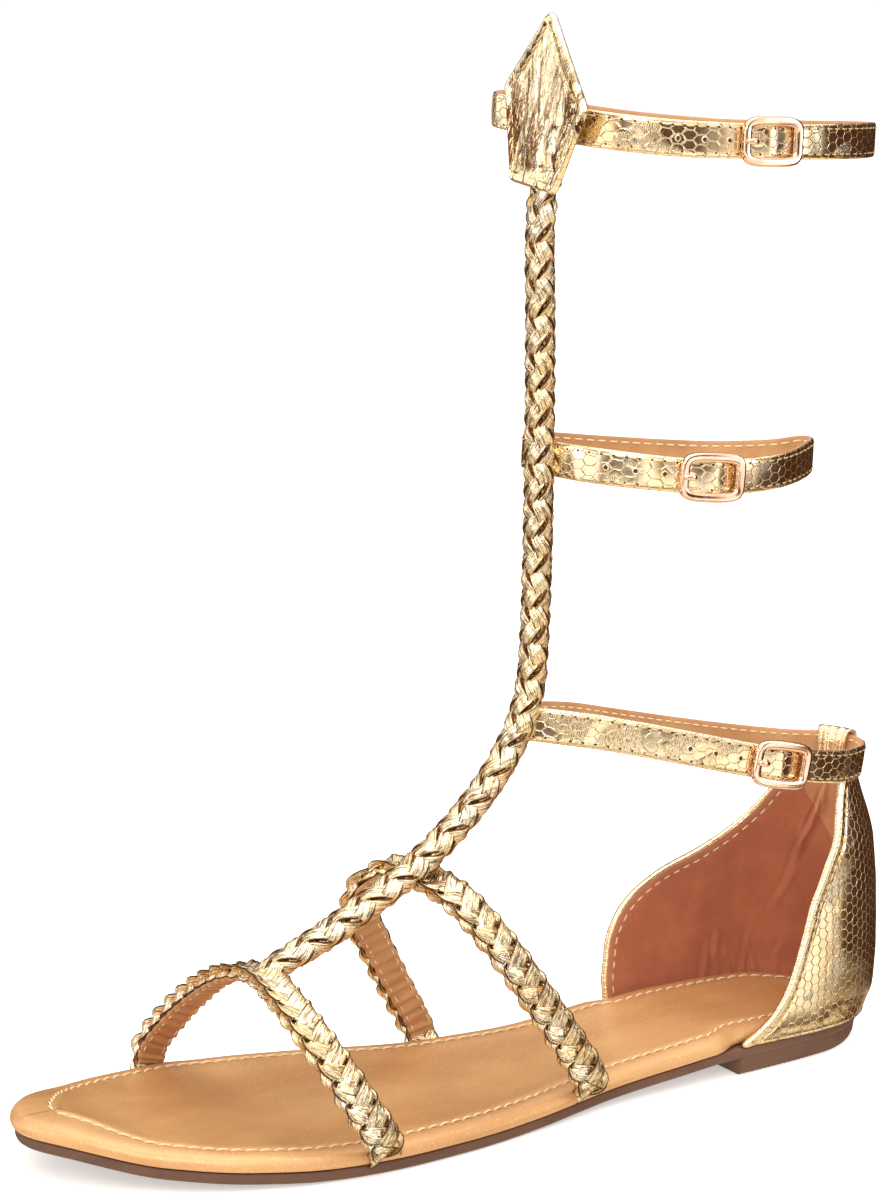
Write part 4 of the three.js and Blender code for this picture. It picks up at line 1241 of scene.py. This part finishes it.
def make_buckle(strap):
    under = STRAP_THICK / 2 + 0.45
    bar_centre = BAR_LIFT - STRAP_THICK / 2 - GAP - BUCKLE_BAR / 2
    half_long, half_high = (BUCKLE_LONG - FRAME_WALL) / 2, (BUCKLE_HIGH - FRAME_WALL) / 2
    turn = full_turn(160)
    x = half_long * squared(np.cos(turn), FRAME_CORNER)
    y = half_high * squared(np.sin(turn), FRAME_CORNER) * (1 - 0.05 * (x / half_long) ** 2)
    line = Path(np.stack([x, y, 0 * x], -1), closed=True, fine=8)
    s = np.linspace(0, line.length, 150, endpoint=False)
    centre, along = line.points(s), line.tangents(s)
    side = np.stack([along[:, 1], -along[:, 0], 0 * s], -1)
    bow = -0.35 * (centre[:, 0] / half_long) ** 2 + 0.25
    v, w = np.array(FRAME_SECTION, float).T
    rings = sections(centre, (FRAME_WALL / 2 * v[None], side))
    rings[..., 2] += under + BUCKLE_BAR / 2 + BUCKLE_BAR / 2 * w + bow[:, None]
    builder = Builder(f"{strap.key}_buckle_plated")
    builder.grid(place_on_strap(strap, rings), None, 0, round_rows=True, round_cols=True)

    def bar(route, half_thick):
        path = Path(route)
        s = np.linspace(0, path.length, 36)
        points, direction = path.points(s), path.tangents(s)
        up = np.array([0.0, 0.0, 1.0]) if abs(direction[10][2]) < 0.9 else np.array([1.0, 0, 0])
        side = unit(np.cross(direction, np.broadcast_to(up, direction.shape)))
        out = np.cross(side, direction)
        taper = np.interp(s / path.length, [0, 0.03, 0.8, 0.97, 1], [0.3, 1, 1, 0.75, 0.2])
        local = Builder("local")
        tube(local, points, side, out, BAR_HALF * taper, half_thick * taper, around=12)
        placed = place_on_strap(strap, np.vstack(local.points))
        builder.add(placed, local.faces, local.lay, local.kinds)

    reach = BUCKLE_HIGH / 2 - 1.1
    high = under + 0.7
    bar([(0, -reach, high), (0, -reach + 0.15, bar_centre + 0.5), (0, -reach + 1.2, bar_centre),
         (0, 0, bar_centre), (0, reach - 1.2, bar_centre), (0, reach - 0.15, bar_centre + 0.5),
         (0, reach, high)], BAR_HALF)
    on_frame = under + BUCKLE_BAR + 0.5
    bar([(0, 0, bar_centre - 0.1), (-2.6, 0, bar_centre + 0.1), (-4.3, 0, bar_centre + 1.9),
         (-5.8, 0, on_frame - 0.35), (-7.4, 0, on_frame + 0.1), (-9.3, 0, on_frame - 0.15)], PRONG_HALF)
    builder.finish([rose_gold], [f"{strap.key}_buckle"])


# ---------- keeper round the ankle strap ----------
def make_keeper(strap):
    length = strap.path.length
    s = np.linspace(KEEPER["from"], KEEPER["to"], 40) * length
    points, along, across, out = strap.frames(s)
    room, wall = KEEPER["room"], KEEPER["wall"]
    half_wide = STRAP_WIDE / 2 + room + wall / 2
    half_thick = STRAP_THICK / 2 + room + wall / 2
    turn = full_turn(72)
    v = squared(np.cos(turn), 0.45) * half_wide
    w = squared(np.sin(turn), 0.55) * half_thick
    normal = unit(np.stack([v / half_wide ** 2, w / half_thick ** 2], -1))
    share = (s - s[0]) / (s[-1] - s[0])
    ends = np.sqrt(np.maximum(1 - np.clip(1 - np.minimum(share, 1 - share) * 12, 0, 1) ** 2, 0))
    puckers = 0.22 * np.cos(share * 21)[:, None] * np.abs(np.sin(turn)) ** 0.3
    loft = []
    for direction in (1, -1):
        shift = direction * wall / 2 * ends[:, None] + (puckers if direction > 0 else 0)
        a, b = v + normal[:, 0] * shift, w + normal[:, 1] * shift
        loft.append(sections(points, (a, across), (b, out)))
    lay = lay_grid(s, np.arange(len(turn) + 1) * 0.4)
    builder = Builder("ankle_keeper")
    for kind, sheet in enumerate(loft):
        builder.grid(sheet, lay, kind, round_cols=True)
    for end in (0, -1):
        builder.grid(np.stack([loft[0][end], loft[1][end]]), None, 0, round_cols=True)
    builder.finish([folded_foil, tan_lining])


# ---------- plaque ----------
PLAQUE_CENTRE = np.array([0.6, 22.0])
# A share of the way to the centre counts as this much of it in distance from the rim.
RIM_SLANT = 0.78
TURNED_MARGIN = 7
PLAQUE_STITCH_INSET = 2.5


def kite_outline(count):
    path = np.array([*PLAQUE, PLAQUE[0]], float)
    at = run_of(path)
    line = read(np.linspace(0, at[-1], count, endpoint=False), at, path)
    # Corners are soft: each point is the mean of its near neighbours.
    for _ in range(3):
        line = (np.roll(line, 1, 0) + line + np.roll(line, -1, 0)) / 3
    return line


def plaque_place(local):
    """x across, up along the plaque, out of its front face, to the part's frame."""
    lean = math.atan(PLAQUE_LEAN)
    x, up, out = local[..., 0], local[..., 1], local[..., 2]
    y = PLAQUE_HEM[0] + up * math.sin(lean) - out * math.cos(lean)
    z = PLAQUE_HEM[1] + up * math.cos(lean) + out * math.sin(lean)
    return np.stack([x, y, z], -1)


def make_plaque():
    rim = kite_outline(240)
    shares = 1 - (1 - np.linspace(0, 1, 40)) ** 1.6
    builder = Builder("plaque_folded")
    reach = np.linalg.norm(rim - PLAQUE_CENTRE, axis=1) * RIM_SLANT

    def sheet(front):
        rows = []
        for share in shares:
            flat = mix(PLAQUE_CENTRE, rim, share)
            edge = reach * (1 - share)
            roll = 1 - np.sqrt(np.maximum(1 - (1 - np.clip(edge / 0.9, 0, 1)) ** 2, 0))
            height = np.full(len(rim), PLAQUE_THICK / 2)
            if front:
                x, up = flat[:, 0], flat[:, 1]
                # A soft rim, the stitch channel, folds that grow downwards, the hem and the
                # braid's rise behind the foil.
                height = height + 0.25 * bell(edge - 0.9, 0.8)
                height = height - 0.28 * bell(edge - PLAQUE_STITCH_INSET, 0.4)
                bend = x + wobble(up, 61, 6, 1.6) + wobble(up + 3 * x, 64, 4, 0.8)
                folds = wobble(bend + up * 0.06, 62, 1.3, 0.22)
                folds = folds + wobble(bend - 0.1 * up, 63, 3.0, 0.26)
                folds = folds * (0.35 + 0.65 * smooth((36 - up) / 24))
                hem = smooth((4.6 - up) / 0.8)
                height = height + folds * smooth((edge - 2.6) / 2.5) * (1 - 0.8 * hem) + 0.3 * hem
                height = height - 0.3 * bell(up - 4.8, 0.4) * smooth(edge / 2)
                height = height + 0.5 * bell(x, 5) * smooth((edge - 1) / 5) * smooth((30 - up) / 16)
            height = height * (1 - roll)
            rows.append(with_height(flat, height if front else -height))
        return np.array(rows)

    # The foil turns over onto the back as a margin round the lining.
    margin = reach * (1 - shares[1:, None]) < TURNED_MARGIN
    for front, kind in ((True, 0), (False, np.where(margin, 0, 1))):
        local = sheet(front)
        local[..., 2] += PLAQUE_THICK / 2
        builder.grid(plaque_place(local), close_rows(local), kind, round_cols=True)
    builder.finish([plaque_foil, tan_lining], ["plaque"])

    threads = Builder("plaque_stitches")
    flat = mix(PLAQUE_CENTRE, rim, (1 - PLAQUE_STITCH_INSET / reach)[:, None])
    line = with_height(flat, np.full(len(flat), PLAQUE_THICK - 0.12))
    line = plaque_place(np.vstack([line, line[:1]]))
    normal = plaque_place(np.array([[0.0, 0, 1]])) - plaque_place(np.array([[0.0, 0, 0]]))
    stitch_row(threads, line, np.repeat(normal, len(line), 0), 2.3, 0.8, 0.22, sunk=-0.06)
    threads.finish([gold_thread])


# ---------- the sandal ----------
make_outsole()
make_insole()
make_counter()
round_braid("shin_braid", SHIN_BRAID, shin_facing, 9.3, 4, ["upper"])
flat_braid("toe_braid", TOE_BRAID, toe_facing, 6.0)
flat_braid("instep_braid", INSTEP_BRAID, instep_facing, 6.2)
backing("toe_lining", TOE_BRAID, toe_facing, 0.86, 0.05, 3.6, (0.06, 0.94))
backing("instep_lining", INSTEP_BRAID, instep_facing, 0.86, 0.05, 3.6, (0.05, 0.95))
backing("shin_lining", SHIN_BRAID, shin_facing, 0.5, -0.5, 5.0, (0.05, 0.95))
for order, key in enumerate(LEG_STRAPS):
    leg_strap = LegStrap(key)
    make_leg_strap(leg_strap, 200 + 20 * order)
    make_buckle(leg_strap)
make_keeper(LegStrap("ankle"))
make_plaque()


# ---------- studio ----------
FLOOR_SIDE, FLOOR_Z = 13.4, -0.0002
DOME_RADIUS = 7

half = FLOOR_SIDE / 2
floor_mesh = bpy.data.meshes.new("floor")
floor_mesh.from_pydata([(-half, -half, FLOOR_Z), (half, -half, FLOOR_Z), (half, half, FLOOR_Z),
                        (-half, half, FLOOR_Z)], [], [(0, 1, 2, 3)])
floor_mesh.materials.append(Tree("paper").surface((0.85, 0.85, 0.85), 0.8, **{
    "Emission Color": (1, 1, 1, 1), "Emission Strength": 0.45,
}))
floor = link("floor", floor_mesh)
floor.visible_glossy = False

# The sky is bright panels and dark flags by heading, so that the foil has both to mirror. A
# strip at eye level has its own, and so do the rings above and below.
world = bpy.data.worlds.new("studio")
bpy.context.scene.world = world
sky = Tree("studio", world)
side_x, side_y, height = sky.node("ShaderNodeSeparateXYZ", {
    0: sky.node("ShaderNodeTexCoord").outputs["Generated"],
}).outputs
heading = sky.plus(sky.math("DIVIDE", sky.math("ARCTAN2", side_y, side_x), 2 * math.pi), 0.5)
WHITE, SOFT, FLAG = (1.0, 0.96, 0.88), (0.62, 0.46, 0.3), (0.045, 0.018, 0.008)
AMBER, CREAM = (0.42, 0.25, 0.1), (0.8, 0.68, 0.5)
OFF, ON = (0, 0, 0), (1, 1, 1)
SKY_STRENGTH = 1.4


def bands(*stops):
    """Colour stops for a strip of the sky: each colour holds until just before the next, and
    the change between the two passes through amber, as it does in gold."""
    found = []
    for (start, color), (end, _) in zip(stops, (*stops[1:], (1.0, None))):
        found += [(start, color), (max(start, end - 0.018), color), (end - 0.008, AMBER)]
    return found[:-1]


def turned_bands(*stops):
    """The same by heading in degrees, from a flag at -180."""
    return bands((0.0, FLAG), *((degrees / 360 + 0.5, color) for degrees, color in stops))


around = sky.ramp(heading, turned_bands(
    (-157, WHITE), (-131, FLAG), (-104, WHITE), (-62, FLAG), (-52, WHITE), (52, FLAG),
    (168, SOFT), (176, FLAG),
))
# At eye level two low flags stand beside the camera; the leg straps mirror them.
eye_line = sky.ramp(heading, turned_bands(
    (-157, WHITE), (-131, FLAG), (-104, WHITE), (-56, FLAG), (-20, WHITE), (-4, FLAG),
    (36, WHITE), (55, FLAG), (168, SOFT), (176, FLAG),
))
level = sky.plus(sky.times(height, 0.5), 0.5)
at_eye = sky.ramp(level, [(0.444, OFF), (0.456, ON), (0.6, ON), (0.62, OFF)])
rings = sky.ramp(level, bands(
    (0.0, CREAM), (0.24, FLAG), (0.3, CREAM), (0.72, FLAG), (0.77, WHITE)))
band = sky.ramp(level, [(0.27, OFF), (0.33, ON), (0.67, ON), (0.73, OFF)])
sky.output("ShaderNodeOutputWorld", sky.node("ShaderNodeBackground", {
    0: sky.blend(band, rings, sky.blend(at_eye, around, eye_line)), "Strength": SKY_STRENGTH,
}))

# A pale dome that only the camera sees stands behind everything.
dome_mesh = bpy.data.meshes.new("backdrop")
bm = bmesh.new()
bmesh.ops.create_uvsphere(bm, u_segments=48, v_segments=24, radius=DOME_RADIUS)
bm.to_mesh(dome_mesh)
bm.free()
dome = link("backdrop", dome_mesh)
white = Tree("backdrop_white")
emission = white.node("ShaderNodeEmission", {"Color": (1, 1, 1, 1), "Strength": 1.03})
dome_mesh.materials.append(white.output("ShaderNodeOutputMaterial", emission))
for ray in ("diffuse", "glossy", "transmission", "volume_scatter", "shadow"):
    setattr(dome, f"visible_{ray}", False)


def softbox(name, at, aim, size, power):
    data = bpy.data.lights.new(name, "AREA")
    data.shape = "RECTANGLE"
    data.size, data.size_y = size
    data.energy = power
    light = link(name, data)
    light.location = at
    light.rotation_euler = (Vector(aim) - Vector(at)).to_track_quat("-Z", "Y").to_euler()


softbox("key", (1.1, -0.75, 0.95), (0, -0.06, 0.1), (0.7, 0.9), 9)
softbox("fill", (-0.5, -1.4, 0.55), (0, -0.08, 0.1), (0.9, 0.6), 5)
softbox("top", (0.1, 0.1, 1.5), (0, -0.05, 0), (1.2, 1.2), 9)
softbox("rim", (0.9, 1.1, 0.4), (0, 0, 0.1), (0.25, 0.7), 2)

# ---------- camera ----------
camera_data = bpy.data.cameras.new("camera")
camera = link("camera", camera_data)
camera.location = (0.67937, -0.50040, 0.27903)
azimuth, pitch, roll = (math.radians(angle) for angle in (59.16, 10.55, -0.28))
level_look = math.cos(pitch)
look = Vector((-math.sin(azimuth) * level_look, math.cos(azimuth) * level_look, -math.sin(pitch)))
turned = look.to_track_quat("-Z", "Y").to_matrix() @ Matrix.Rotation(roll, 3, "Z")
camera.rotation_euler = turned.to_euler()
camera_data.sensor_width = 36
camera_data.lens = 96.51
camera_data.clip_start, camera_data.clip_end = 0.01, 100
bpy.context.scene.camera = camera
bpy.context.scene.view_settings.view_transform = "Standard"
